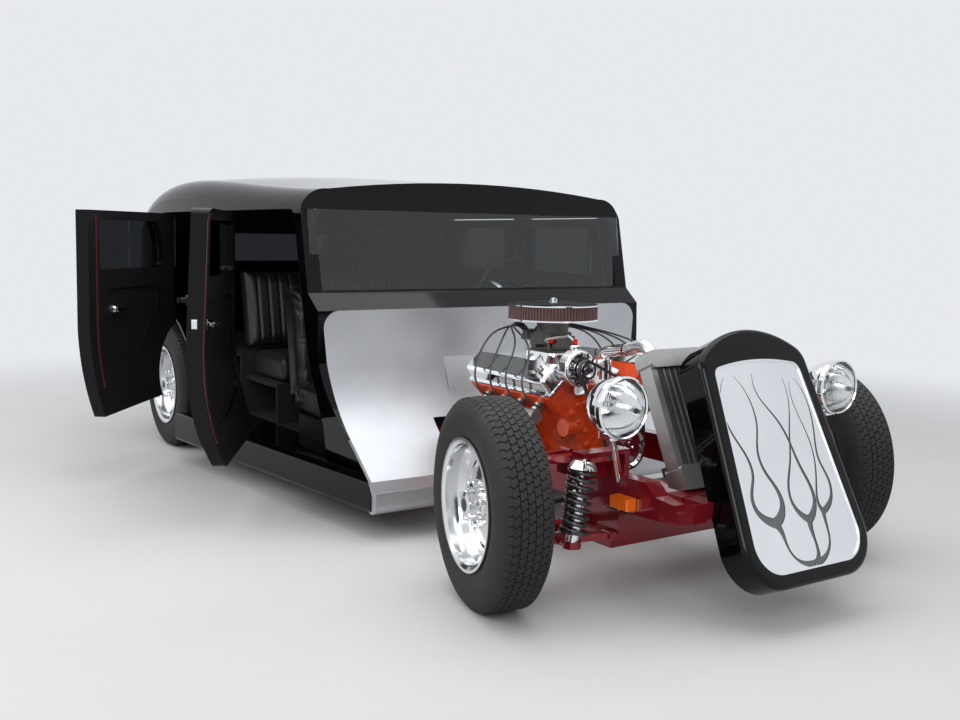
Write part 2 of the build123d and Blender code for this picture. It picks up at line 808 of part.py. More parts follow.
for side_name, side in (("left", 1), ("right", -1)):
    outward = Vector(0, side, 0)
    hub = Vector(0, side * front_track / 2, up(axle_height))
    kingpin = Axis((0, side * kingpin_y, 0), (0, 0, 1))
    with BuildPart() as knuckle:
        add(make_knuckle(hub, outward, side).rotate(kingpin, steer_rest))
    save(knuckle, f"knuckle_{side_name}")
    with BuildPart() as wheel:
        add(make_wheel(hub, outward).rotate(kingpin, steer_rest))
    save(wheel, f"wheel_front_{side_name}")
    with BuildPart() as tyre:
        add(make_tyre(hub, outward).rotate(kingpin, steer_rest))
    save(tyre, f"tyre_front_{side_name}")
    rear_hub = Vector(-wheelbase, side * rear_track / 2, up(axle_height))
    with BuildPart() as wheel:
        add(make_wheel(rear_hub, outward))
    save(wheel, f"wheel_rear_{side_name}")
    with BuildPart() as tyre:
        add(make_tyre(rear_hub, outward))
    save(tyre, f"tyre_rear_{side_name}")


def tube(points, radius, bend, bore=0):
    """Pipe along a route of straight runs with rounded bends."""
    with BuildPart() as pipe:
        with BuildLine() as route:
            FilletPolyline(*points, radius=bend)
        with BuildSketch(Plane(origin=route.line @ 0, z_dir=route.line % 0)):
            Circle(radius)
            if bore:
                Circle(bore, mode=Mode.SUBTRACT)
        sweep()
    return pipe.part


def bar(start, end, radius):
    """Round bar between two points."""
    run = Vector(*end) - Vector(*start)
    with BuildPart() as rod:
        with BuildSketch(Plane(origin=start, z_dir=run.normalized())):
            Circle(radius)
        extrude(amount=run.length)
    return rod.part


# Engine: a 90-degree V8, its long way along X
engine_mid_x = engine_front_x - engine_length / 2
deck_distance = 230
head_height = 105
head_width = 140
cover_height = 66
tilt_y = sin(radians(bank_angle))
tilt_z = cos(radians(bank_angle))


def bank_plane(distance, along_x=0):
    """Plane square to the left bank, this far from the crank: local x is the car's X."""
    origin = (engine_mid_x + along_x, distance * tilt_y, up(crank_height) + distance * tilt_z)
    return Plane(origin=origin, x_dir=(1, 0, 0), z_dir=(0, tilt_y, tilt_z))


# Engine stations: the four cylinders of a bank, and where their plugs sit beside the ports
port_stations = (-165, -55, 55, 165)
plug_shift = 30
port_distance = deck_distance + 50
plug_distance = deck_distance + 72
outward_down = Vector(0, tilt_z, -tilt_y)


def on_head(station, distance, out=0):
    """Point on the left head's outer face: along the engine, out along the bank, off the face."""
    face = Vector(engine_mid_x + station, distance * tilt_y, up(crank_height) + distance * tilt_z)
    return face + outward_down * (head_width / 2 + out)


with BuildPart() as head:
    with BuildSketch(bank_plane(deck_distance - 2)):
        Rectangle(engine_length - 20, head_width)
    extrude(amount=head_height + 2)
    chamfer(head.edges().filter_by(Axis.X), length=8)
    for station in port_stations:
        add(bar(on_head(station, port_distance, -10), on_head(station, port_distance, 6), 24))
        plug_seat = on_head(station + plug_shift, plug_distance, 4)
        add(bar(on_head(station + plug_shift, plug_distance, -10), plug_seat, 13))

with BuildPart() as engine_block:
    with BuildSketch(cross_plane(engine_front_x - engine_length)):
        with BuildLine():
            Polyline(
                (-95, up(325)), (95, up(325)), (132, up(400)), (209, up(516)), (116, up(609)), (60, up(575)),
                (-60, up(575)), (-116, up(609)), (-209, up(516)), (-132, up(400)), close=True,
            )
        make_face()
    extrude(amount=engine_length)
    add(head.part)
    add(head.part.mirror(Plane.XZ))
    with BuildSketch(Plane.XY.offset(up(325))):
        with Locations((engine_mid_x, 0)):
            RectangleRounded(engine_length - 6, 214, 12)
    extrude(amount=-14)
    with BuildSketch(Plane.XY.offset(up(318))):
        with Locations((engine_mid_x, 0)):
            RectangleRounded(engine_length - 40, 180, 20)
    extrude(amount=-100, taper=6)
    with BuildSketch(Plane.XY.offset(up(230))):
        with Locations((engine_mid_x - 110, 0)):
            RectangleRounded(240, 165, 20)
    extrude(amount=-60, taper=8)
    with BuildSketch(cross_plane(engine_front_x)):
        with Locations((0, up(crank_height))):
            Circle(100)
        with Locations((0, up(crank_height + 125))):
            Circle(72)
        make_hull()
    extrude(amount=14)
    with BuildSketch(cross_plane(engine_front_x + 14)):
        with Locations((0, up(crank_height))):
            Circle(84)
        with Locations((0, up(crank_height + 125))):
            Circle(58)
        make_hull()
    extrude(amount=16)
    for side in (1, -1):
        with Locations((engine_mid_x, side * (rail_y - rail_width / 2 - 95), up(365))):
            Box(90, 190, 34)
        for station in (-180, 0, 180):
            plug_x = engine_mid_x + station
            add(bar((plug_x, side * 150, up(445)), (plug_x, side * 178, up(425)), 24))
    with Locations((engine_front_x - 25, -165, up(470))):
        Cylinder(34, 74, rotation=(90, 0, 0))
    with Locations((engine_front_x - engine_length + 97, -146, up(300))):
        Cylinder(42, 190, rotation=(0, 90, 0))
    with Locations((engine_front_x - engine_length + 50, 135, up(290))):
        Cylinder(46, 110)
save(engine_block, "engine_block")

cover_top = deck_distance + head_height + cover_height
breather_station = engine_length / 2 - 60
with BuildPart() as valve_covers:
    with BuildSketch(bank_plane(deck_distance + head_height)):
        RectangleRounded(engine_length + 8, 132, 16)
    extrude(amount=6)
    with BuildSketch(bank_plane(deck_distance + head_height)):
        RectangleRounded(engine_length - 4, 116, 24)
    extrude(amount=cover_height, taper=9)
    fillet(valve_covers.faces().sort_by(Axis((0, 0, 0), (0, tilt_y, tilt_z)))[-1].edges(), radius=16)
    with BuildSketch(bank_plane(cover_top - 4, breather_station)):
        Circle(26)
    extrude(amount=26)
    with BuildSketch(bank_plane(cover_top + 22, breather_station)):
        Circle(34)
    extrude(amount=14, taper=12)
    mirror(about=Plane.XZ)
save(valve_covers, "valve_covers")

intake_top = 715
carb_pad = 8
with BuildPart() as intake_manifold:
    with BuildSketch(cross_plane(engine_mid_x - 240)):
        with BuildLine():
            Polyline((-60, up(575)), (60, up(575)), (116, up(609)), (120, up(632)), (48, up(652)),
                     (-48, up(652)), (-120, up(632)), (-116, up(609)), close=True)
        make_face()
    extrude(amount=480)
    for station in port_stations:
        for side in (1, -1):
            reach = (engine_mid_x + station, side * 126, up(640))
            plenum = (air_cleaner_x + (engine_mid_x + station - air_cleaner_x) * 0.45, side * 52, up(694))
            add(bar(reach, plenum, 21))
    with BuildSketch(Plane.XY.offset(up(intake_top))):
        with Locations((air_cleaner_x, 0)):
            RectangleRounded(190, 140, 22)
    extrude(amount=-75, taper=-12)
    with Locations((engine_mid_x + 225, 0, up(670))):
        Cylinder(34, 58)
    add(engine_block.part, mode=Mode.SUBTRACT)
save(intake_manifold, "intake_manifold")

# Four-barrel carburettor: baseplate, body, a fuel bowl at each end, air horn and throttle shaft
carb_base = up(intake_top) + carb_pad
with BuildPart() as carburettor:
    with Locations((air_cleaner_x, 0, up(intake_top) + carb_pad / 2)):
        Box(150, 140, carb_pad)
    with BuildSketch(Plane.XY.offset(carb_base)):
        with Locations((air_cleaner_x, 0)):
            RectangleRounded(112, 118, 10)
    extrude(amount=70)
    for end in (1, -1):
        with BuildSketch(Plane.XY.offset(carb_base + 14)):
            with Locations((air_cleaner_x + end * 74, 0)):
                RectangleRounded(42, 96, 10)
        extrude(amount=44, taper=3)
    with BuildSketch(Plane.XY.offset(carb_base + 70)):
        with Locations((air_cleaner_x, 0)):
            Circle(64)
    extrude(amount=up(air_cleaner_height) - carb_base - 70)
    with Locations((air_cleaner_x, 0, carb_base + 16)):
        Cylinder(6, 176, rotation=(90, 0, 0))
    with Locations((air_cleaner_x + 12, 84, carb_base + 26)):
        Box(44, 5, 34)
save(carburettor, "carburettor")

# Air cleaner: pan, filter element set in between, and a domed lid held by a wing nut
filter_height = 52
lid_rise = 12
pan_z = up(air_cleaner_height)
lid_z = pan_z + 10 + filter_height
edge_x = air_cleaner_x + air_cleaner_radius
with BuildPart() as air_cleaner:
    with BuildSketch(side_plane()):
        with BuildLine():
            Polyline(
                (air_cleaner_x, pan_z), (air_cleaner_x + 120, pan_z), (edge_x, pan_z + 4),
                (edge_x, pan_z + 10), (edge_x - 10, pan_z + 10), (edge_x - 10, lid_z),
                (edge_x, lid_z), (edge_x, lid_z + 5),
            )
            ThreePointArc(
                (edge_x, lid_z + 5),
                (edge_x - 40, lid_z + lid_rise),
                (air_cleaner_x + 60, lid_z + 3 + lid_rise),
            )
            Polyline(
                (air_cleaner_x + 60, lid_z + 3 + lid_rise), (air_cleaner_x, lid_z + 3 + lid_rise),
                (air_cleaner_x, pan_z),
            )
        make_face()
    revolve(axis=Axis((air_cleaner_x, 0, 0), (0, 0, 1)))
    with Locations((air_cleaner_x, 0, lid_z + 10 + lid_rise)):
        Cylinder(9, 18)
        Box(44, 5, 12)
save(air_cleaner, "air_cleaner")

# Distributor behind the carburettor, with a lead to each plug
distributor_x = engine_front_x - engine_length + 30
cap_height = 752
lead_radius = 4
lead_shelf = up(804)
with BuildPart() as ignition:
    with BuildSketch(Plane.XY.offset(up(652) + soft_gap)):
        with Locations((distributor_x, 0)):
            Circle(26)
    extrude(amount=cap_height - 652)
    with BuildSketch(Plane.XY.offset(up(cap_height))):
        with Locations((distributor_x, 0)):
            Circle(44)
    extrude(amount=40, taper=14)
    for number, station in enumerate(port_stations):
        for side in (1, -1):
            plug = on_head(station + plug_shift, plug_distance, 4.3)
            boot = on_head(station + plug_shift, plug_distance, 22)
            plug = Vector(plug.X, side * plug.Y, plug.Z)
            boot = Vector(boot.X, side * boot.Y, boot.Z)
            add(bar(tuple(plug), tuple(boot), 8))
            shelf_z = lead_shelf + 5 * number
            tower_x = distributor_x - 18 + 12 * number
            route = [
                (tower_x, side * 24, up(cap_height) + 34),
                (tower_x, side * 44, shelf_z),
                (distributor_x - 16 + 10 * number, side * (95 + 12 * number), shelf_z),
                (engine_mid_x + station - 12, side * 272, up(770) - 6 * number),
                (boot.X - 22, side * (abs(boot.Y) + 66), boot.Z + 70),
                tuple(boot),
            ]
            add(tube(route, lead_radius, 9))
save(ignition, "ignition")

# Accessory drive: water pump, crank and pump pulleys, the belt round them and the alternator's pulley
pulley_x = -262
belt_width = 26
alternator_y = -200
alternator_height = 700
alternator_radius = 68
belt_front_x = pulley_x + 6
pump_height = crank_height + 160
pulley_table = [(0, crank_height, 85), (0, pump_height, 72), (alternator_y, alternator_height, 34)]


def pulley(y, height, radius):
    """V-grooved pulley with a dished face."""
    axle = Axis((0, y, up(height)), (1, 0, 0))
    start = pulley_x
    with BuildPart() as wheel:
        with BuildSketch(Plane(origin=(0, y, up(height)), x_dir=(1, 0, 0), z_dir=(0, -1, 0))):
            with BuildLine():
                Polyline(
                    (start, 0), (start, radius), (start + 6, radius), (start + 10, radius - 9),
                    (start + 16, radius - 9), (start + 20, radius), (start + belt_width, radius),
                    (start + belt_width, radius - 10), (start + belt_width - 14, radius - 14),
                    (start + belt_width - 14, radius * 0.42), (start + belt_width, radius * 0.36),
                    (start + belt_width, 0), close=True,
                )
            make_face()
        revolve(axis=axle)
    return wheel.part


with BuildPart() as accessory_drive:
    for height, radius in ((pump_height, 52), (crank_height, 40)):
        with BuildSketch(cross_plane(engine_front_x + 30)):
            with Locations((0, up(height))):
                Circle(radius)
        extrude(amount=pulley_x - engine_front_x - 30)
    with BuildSketch(cross_plane(engine_front_x + 30)):
        with Locations((0, up(pump_height + 20))):
            RectangleRounded(190, 62, 28)
    extrude(amount=34)
    for row in pulley_table:
        add(pulley(*row))
    with BuildSketch(cross_plane(belt_front_x)):
        for y, height, radius in pulley_table:
            with Locations((y, up(height))):
                Circle(radius + 3)
        make_hull()
        with BuildSketch(mode=Mode.PRIVATE) as inner_loop:
            for y, height, radius in pulley_table:
                with Locations((y, up(height))):
                    Circle(radius - 5)
            make_hull()
        add(inner_loop.sketch, mode=Mode.SUBTRACT)
    extrude(amount=14)
save(accessory_drive, "accessory_drive")

# Alternator: finned body with slots round its front face, a fan behind the pulley and a slotted arm
fan_blades = 11
with BuildPart() as alternator:
    with BuildSketch(cross_plane(engine_front_x + 12)):
        with Locations((alternator_y, up(alternator_height))):
            Circle(alternator_radius)
    extrude(amount=62)
    fillet(alternator.edges().filter_by(GeomType.CIRCLE), radius=12)
    with BuildSketch(cross_plane(engine_front_x + 66)):
        with Locations((alternator_y, up(alternator_height))):
            with PolarLocations(48, 10):
                SlotOverall(22, 8)
    extrude(amount=10, mode=Mode.SUBTRACT)
    with BuildSketch(cross_plane(engine_front_x + 74)):
        with Locations((alternator_y, up(alternator_height))):
            Circle(20)
    extrude(amount=pulley_x - engine_front_x - 74)
    with BuildSketch(cross_plane(engine_front_x + 78)):
        with Locations((alternator_y, up(alternator_height))):
            Circle(40)
            with PolarLocations(48, fan_blades):
                Rectangle(26, 13, rotation=20)
    extrude(amount=4)
    with BuildSketch(cross_plane(engine_front_x)):
        with Locations((-150, up(640))):
            RectangleRounded(60, 90, 12)
        with Locations((-118, up(702))):
            RectangleRounded(120, 26, 12, rotation=-12)
    extrude(amount=12)
    with Locations((engine_front_x + 10, -150, up(640))):
        Box(20, 50, 70)
save(alternator, "alternator")

# Exhaust: a log manifold along each bank, its flanges, the pipe, silencer and turned-out end
log_y = 290
log_height = 512
pipe_y = 215
pipe_height = 182
silencer_x = (-1750, -2230)
tail_x_exhaust = -2480
with BuildPart() as exhaust:
    with Locations((engine_mid_x, log_y, up(log_height))):
        Cylinder(27, 400, rotation=(0, 90, 0))
    for station in port_stations:
        port = on_head(station, port_distance, 6)
        add(bar(port, (engine_mid_x + station, log_y, up(log_height)), 20))
        add(bar(port, on_head(station, port_distance, 14), 24))
    pipe_route = [
        (engine_mid_x - 60, log_y, up(log_height)),
        (engine_mid_x - 80, 262, up(330)),
        (engine_mid_x - 260, pipe_y, up(pipe_height)),
        (tail_x_exhaust, pipe_y, up(pipe_height)),
    ]
    add(tube(pipe_route, 27, 60))
    with BuildSketch(cross_plane(silencer_x[1])):
        with Locations((pipe_y - 30, up(pipe_height) - 15)):
            SlotOverall(150, 88)
    extrude(amount=silencer_x[0] - silencer_x[1])
    add(engine_block.part, mode=Mode.SUBTRACT)
    mirror(about=Plane.XZ)
save(exhaust, "exhaust")

gearbox_front = engine_front_x - engine_length
with BuildPart() as transmission:
    with BuildSketch(cross_plane(gearbox_front)):
        with Locations((0, up(crank_height))):
            Circle(190)
    with BuildSketch(cross_plane(gearbox_front - 150)):
        with Locations((0, up(370))):
            Circle(115)
    loft()
    with BuildSketch(cross_plane(gearbox_front - 150)):
        with Locations((0, up(350))):
            RectangleRounded(190, 200, 50)
    extrude(amount=-420)
    with BuildSketch(cross_plane(gearbox_front - 570)):
        with Locations((0, up(355))):
            Circle(55)
    extrude(amount=-240)
    add(bar((gearbox_front - 800, 0, up(355)), (-2945, 0, up(axle_height)), 38))
save(transmission, "transmission")

# Front end: grille shell and insert in one slanted plane, radiator behind it
slant = radians(grille_slant)
grille_plane = Plane(
    origin=(grille_top_x, 0, up(grille_top_height)),
    x_dir=(0, 1, 0),
    z_dir=(cos(slant), 0, sin(slant)),
)
shell_depth = 105
insert_half_top = 195
insert_half_foot = 248
insert_length = 640
rim_side = 24


def grille_outline(grow, crown):
    """Grille outline in its own plane: narrow domed top, wider foot with rounded corners."""
    half_top = insert_half_top + grow
    half_foot = insert_half_foot + grow
    foot = -insert_length - grow
    with BuildSketch(mode=Mode.PRIVATE) as outline:
        with BuildLine():
            Line((half_top, crown * 0.35), (half_foot, foot))
            Line((half_foot, foot), (-half_foot, foot))
            Line((-half_foot, foot), (-half_top, crown * 0.35))
            ThreePointArc((-half_top, crown * 0.35), (0, crown), (half_top, crown * 0.35))
        make_face()
        fillet(outline.vertices().group_by(Axis.Y)[0], radius=95 + grow)
        fillet(outline.vertices().group_by(Axis.Y)[-1], radius=32 + grow)
    return outline.sketch


# Flame licks cut shallowly into the insert. Rows down its plane: across, down, half width
flame_depth = 1.5
flame_licks = [
    [(-160, -18, 0.8), (-203, -120, 2.2), (-190, -200, 3.5), (-158, -275, 4.5), (-156, -335, 5.5),
     (-184, -392, 6.5), (-184, -436, 8), (-158, -468, 12), (-118, -486, 17)],
    [(-116, -15, 0.8), (-74, -100, 2.2), (-76, -182, 3.5), (-106, -265, 4.5), (-100, -325, 5.5),
     (-70, -388, 7), (-66, -432, 10), (-84, -466, 15), (-118, -486, 17)],
    [(-126, -484, 15), (-102, -520, 9), (-95, -566, 4.5), (-74, -602, 4.5), (-38, -622, 8), (4, -626, 11)],
    [(-30, -11, 0.8), (-30, -90, 2.2), (18, -165, 3.5), (46, -240, 4.5), (60, -320, 5.5),
     (80, -389, 6.5), (80, -440, 8), (58, -476, 12), (34, -494, 14)],
    [(101, -33, 0.8), (97, -121, 1.8), (60, -215, 3), (22, -310, 4), (-16, -382, 5),
     (-22, -430, 5.5), (-2, -470, 9), (34, -494, 14)],
    [(34, -490, 14), (28, -532, 8), (30, -570, 5.5), (26, -604, 8), (4, -626, 11)],
    [(155, -37, 0.8), (186, -137, 2.2), (172, -230, 3.2), (157, -315, 4.2), (173, -382, 5),
     (163, -434, 6.5), (134, -464, 10), (106, -478, 10)],
    [(128, -50, 0.8), (118, -122, 1.4), (139, -235, 2.2), (134, -325, 3), (106, -402, 4), (94, -450, 6),
     (106, -478, 10)],
    [(106, -474, 10), (101, -526, 5), (93, -572, 4.5), (66, -606, 6.5), (34, -622, 10), (4, -626, 11)],
]


def lick(rows):
    """Closed tapering stroke along rows of across, down and half width."""
    left = []
    right = []
    for index, (across, down, half) in enumerate(rows):
        before = Vector(*rows[max(index - 1, 0)][:2])
        after = Vector(*rows[min(index + 1, len(rows) - 1)][:2])
        sideways = (after - before).normalized().rotate(Axis.Z, 90)
        left.append(Vector(across, down) + sideways * half)
        right.append(Vector(across, down) - sideways * half)
    with BuildSketch(mode=Mode.PRIVATE) as stroke:
        with BuildLine():
            Spline(*left)
            Line(left[-1], right[-1])
            Spline(*reversed(right))
            Line(right[0], left[0])
        make_face()
    return stroke.sketch


insert_bead = 6
with BuildPart() as grille_insert:
    with BuildSketch(grille_plane.offset(-14)):
        add(grille_outline(0, 34))
    extrude(amount=8)
    with BuildSketch(grille_plane.offset(-6 - flame_depth)):
        for rows in flame_licks:
            add(lick(rows))
    extrude(amount=flame_depth, mode=Mode.SUBTRACT)
    with BuildSketch(grille_plane.offset(-6)):
        add(grille_outline(0, 34))
        add(grille_outline(-insert_bead, 34 - insert_bead), mode=Mode.SUBTRACT)
    extrude(amount=4)
save(grille_insert, "grille_insert")
shell_skin = 14
shell_edge = 18
with BuildPart() as grille_shell:
    with BuildSketch(grille_plane):
        add(grille_outline(rim_side + 20, 140))
    extrude(amount=-shell_depth)
    front_rim = grille_shell.faces().sort_by(Axis(grille_plane.origin, grille_plane.z_dir))[-1]
    fillet(front_rim.outer_wire().edges(), radius=shell_edge)
    with BuildSketch(grille_plane.offset(-shell_depth)):
        add(grille_outline(rim_side + 20 - shell_skin, 140 - shell_skin))
    extrude(amount=shell_depth - 14, mode=Mode.SUBTRACT)
    with BuildSketch(grille_plane.offset(-30)):
        add(grille_outline(0, 34))
    extrude(amount=40, mode=Mode.SUBTRACT)
save(grille_shell, "grille_shell")

radiator_half = 245
radiator_plane = Plane(origin=(180, 0, up(590)), x_dir=(0, 1, 0), z_dir=(cos(slant), 0, sin(slant)))
radiator_seat = 375
core_thickness = 56
tank_thickness = 80
tube_pitch = 24
with BuildPart() as radiator:
    with BuildSketch(radiator_plane.offset(-core_thickness / 2 + 6)):
        Rectangle(2 * radiator_half, 340)
    extrude(amount=core_thickness - 12)
    with BuildSketch(radiator_plane.offset(-core_thickness / 2)):
        for side in (1, -1):
            with Locations((side * (radiator_half - 12), 0)):
                Rectangle(24, 340)
        with GridLocations(tube_pitch, 0, 17, 1):
            Rectangle(6, 336)
    extrude(amount=core_thickness)
    with BuildSketch(radiator_plane.offset(-tank_thickness / 2)):
        with Locations((0, 195)):
            RectangleRounded(2 * radiator_half, 60, 16)
        with Locations((0, -205)):
            RectangleRounded(2 * radiator_half, 80, 12)
    extrude(amount=tank_thickness)
    with BuildSketch(radiator_plane.offset(-tank_thickness / 2 - 14)):
        with Locations((-150, 200)):
            Circle(23)
        with Locations((150, -200)):
            Circle(23)
    extrude(amount=20)
    with BuildSketch(Plane(origin=radiator_plane.from_local_coords((110, 222, 0)), x_dir=(0, 1, 0),
                           z_dir=radiator_plane.y_dir)):
        Circle(26)
    extrude(amount=14)
    add(block((0, 600), (-400, 400), (up(0), up(radiator_seat))), mode=Mode.SUBTRACT)
save(radiator, "radiator")

# Hoses: thermostat housing and top hose, bottom hose round to the water pump under a bright band
upper_spigot = radiator_plane.from_local_coords((-150, 200, -tank_thickness / 2 - 10))
lower_spigot = radiator_plane.from_local_coords((150, -200, -tank_thickness / 2 - 10))
housing_x = engine_mid_x + 225
with BuildPart() as radiator_hoses:
    with Locations((housing_x, 0, up(706) + soft_gap)):
        Cylinder(30, 14)
    add(tube([(housing_x, 0, up(700)), (housing_x + 4, 0, up(742)), (housing_x + 150, -20, up(768)),
              (upper_spigot.X - 90, -100, up(790)), tuple(upper_spigot)], 22, 36))
    add(tube([(engine_front_x + 46, 92, up(pump_height + 20)), (engine_front_x + 150, 110, up(540)),
              (lower_spigot.X - 110, 140, up(430)), tuple(lower_spigot)], 23, 50))
    add(radiator.part, mode=Mode.SUBTRACT)
    add(engine_block.part, mode=Mode.SUBTRACT)
    add(intake_manifold.part, mode=Mode.SUBTRACT)
    add(accessory_drive.part, mode=Mode.SUBTRACT)
save(radiator_hoses, "radiator_hoses")

# Headlamps: open bowls with a bright rim, a bulb, and a stalk down to the frame rail
headlamp_x = 294
headlamp_y = 498
headlamp_height = 661
bowl_depth = 140
bowl_wall = 4
lens_radius = headlamp_radius - 10
lens_rise = 15
lens_ball = (lens_radius**2 + lens_rise**2) / (2 * lens_rise)
lamp_middle = (headlamp_x, headlamp_y, up(headlamp_height))
lamp_plane = Plane(origin=lamp_middle, x_dir=(1, 0, 0), z_dir=(0, -1, 0))
with BuildPart() as headlamps:
    with BuildSketch(lamp_plane):
        with BuildLine():
            Polyline((-bowl_depth, 0), (-bowl_depth + bowl_wall, 0))
            ThreePointArc((-bowl_depth + bowl_wall, 0), (-100, 54), (-24, lens_radius - 3))
            Polyline((-24, lens_radius - 3), (0, lens_radius - 3), (0, lens_radius + soft_gap),
                     (5, lens_radius + soft_gap), (9, headlamp_radius - 6), (4, headlamp_radius),
                     (-12, headlamp_radius), (-24, headlamp_radius - 6))
            ThreePointArc((-24, headlamp_radius - 6), (-104, 60), (-bowl_depth, 0))
        make_face()
    revolve(axis=Axis(lamp_middle, (1, 0, 0)))
    with Locations((headlamp_x - bowl_depth / 2 - 30, headlamp_y, up(headlamp_height))):
        Cylinder(9, 80, rotation=(0, 90, 0))
    add(bar((headlamp_x - 60, headlamp_y - 6, up(headlamp_height - 78)), (118, rail_y + 18, up(384)), 11))
    with BuildSketch(Plane.XY.offset(up(headlamp_height - 104))):
        with Locations((headlamp_x - 62, headlamp_y)):
            RectangleRounded(66, 40, 12)
    extrude(amount=34)
    mirror(about=Plane.XZ)

with BuildPart() as headlamp_lenses:
    with BuildSketch(lamp_plane):
        with BuildLine():
            Polyline((lens_rise + 3, 0), (0, 0), (0, lens_radius), (3, lens_radius))
            ThreePointArc(
                (3, lens_radius),
                (lens_rise + 3 - lens_ball + sqrt(lens_ball**2 - lens_radius**2 / 4), lens_radius / 2),
                (lens_rise + 3, 0),
            )
        make_face()
    revolve(axis=Axis(lamp_middle, (1, 0, 0)))
    mirror(about=Plane.XZ)
save(headlamp_lenses, "headlamp_lenses")

# Turn signals: block lenses on bright brackets bolted to the rails
signal_y = rail_y + rail_width / 2
with BuildPart() as turn_signals:
    for side in (1, -1):
        with BuildSketch(Plane.XY.offset(up(316))):
            with Locations((182, side * (signal_y + 30))):
                RectangleRounded(84, 42, 6)
        extrude(amount=36)
save(turn_signals, "turn_signals")
with BuildPart() as signal_brackets:
    for side in (1, -1):
        with Locations((182, side * (signal_y + 28), up(313))):
            Box(100, 56, 6)
        with Locations((182, side * (signal_y + 3), up(330))):
            Box(100, 6, 40)
save(signal_brackets, "signal_brackets")

# Frame: two boxed rails with stepped horns, kicked up over the rear axle
rail_points = [
    (horn_tip_x, 380),
    (380, 362),
    (300, 370),
    (250, 408),
    (-1010, 385),
    (-1180, rail_top_cabin),
    (-2630, rail_top_cabin),
    (-2840, rail_top_rear),
    (-3800, rail_top_rear),
    (-3800, rail_top_rear - rail_height),
    (-2880, rail_top_rear - rail_height),
    (-2670, rail_top_cabin - rail_height),
    (-1220, rail_top_cabin - rail_height),
    (-1050, 285),
    (250, 295),
    (380, 300),
    (horn_tip_x, 322),
]
with BuildPart() as frame:
    for side in (1, -1):
        with BuildSketch(side_plane(side * (rail_y - rail_width / 2))):
            with BuildLine():
                Polyline(*[(x, up(height)) for x, height in rail_points], close=True)
            make_face()
        extrude(amount=-side * rail_width)
    for x, height, depth in ((0, 245, crossmember_depth), (-2900, 480, 60), (-3770, 480, 60)):
        with Locations((x, 0, up(height))):
            Box(depth, 2 * rail_y, 90)
    with Locations((0, 0, up(292))):
        Box(crossmember_depth, 2 * rail_y, 24)
    with Locations((0, 0, pad_drop + 22)):
        Box(crossmember_depth, 2 * rail_y + rail_width, 44)
    with Locations((0, 0, 60)):
        Box(150, 2 * rail_y - rail_width, 60)
    with Locations((0, 0, 40)):
        Box(pad_width, pad_width, 80)
    for side in (1, -1):
        with Locations((0, side * (rail_y + 70), up(upper_arm_height) - 16.3 - 27)):
            Box(150, 120, 54)
        with Locations((coil_x, side * (rail_y + 105), up(482) + 8)):
            Box(60, 190, 16)
        with Locations((coil_x, side * (rail_y + 20), up(440))):
            Box(60, 20, 100)
    for side in (1, -1):
        with Locations((415, side * (rail_y - rail_width / 2 - 26), up(352))):
            Box(90, 64, 50)
    with Locations((318, 0, up(radiator_seat - 20))):
        Box(70, 2 * rail_y - rail_width, 40)
    add(grille_shell.part, mode=Mode.SUBTRACT)
save(frame, "frame")

with BuildPart() as headlamps_cut:
    add(headlamps.part)
    add(frame.part, mode=Mode.SUBTRACT)
save(headlamps_cut, "headlamps")


# Steering: rack housing behind the crossmember, tie rods that slide with it
rack_x = -steer_arm - 10
rod_radius = 11
rod_height = arm_height_steer + 14 + soft_gap + rod_radius
rack_radius = 24
bellows_inner = 205
bellows_outer = 280
bellows_folds = 6
with BuildPart() as steering_rack:
    with Locations((rack_x, 0, up(rod_height))):
        Cylinder(rack_radius, 2 * bellows_inner, rotation=(90, 0, 0))
    fold = (bellows_outer - bellows_inner) / bellows_folds
    folds = [(bellows_inner - 2, 0), (bellows_inner - 2, rack_radius + 4)]
    for number in range(bellows_folds):
        folds.append((bellows_inner + (number + 0.5) * fold, rack_radius - 8))
        folds.append((bellows_inner + (number + 1) * fold, rack_radius + 3))
    folds.append((bellows_outer, 0))
    with BuildSketch(Plane(origin=(rack_x, 0, up(rod_height)), x_dir=(0, 1, 0), z_dir=(1, 0, 0))):
        with BuildLine():
            Polyline(*folds, close=True)
        make_face()
    revolve(axis=Axis((rack_x, 0, up(rod_height)), (0, 1, 0)))
    mirror(about=Plane.XZ)
    for side in (1, -1):
        with Locations(((rack_x - crossmember_depth / 2) / 2, side * 170, up(rod_height))):
            Box(-crossmember_depth / 2 - rack_x, 40, 24)
    with Locations((rack_x - 4, 110, up(rod_height) + 26)):
        Cylinder(21, 60, rotation=(0, -25, 0))
    with Locations((rack_x, 0, up(rod_height))):
        Cylinder(rod_radius + soft_gap, 562, rotation=(90, 0, 0), mode=Mode.SUBTRACT)
save(steering_rack, "steering_rack")
rod_shift = -steer_arm * sin(radians(steer_rest))
rod_reach = kingpin_y - arm_inset * cos(radians(steer_rest)) + 14
with BuildPart() as tie_rods:
    with Locations((rack_x, rod_shift, up(rod_height))):
        Cylinder(rod_radius, 2 * rod_reach, rotation=(90, 0, 0))
        for side in (1, -1):
            with Locations((0, side * (rod_reach - 14), 0)):
                Cylinder(17, 2 * rod_radius)
save(tie_rods, "tie_rods")

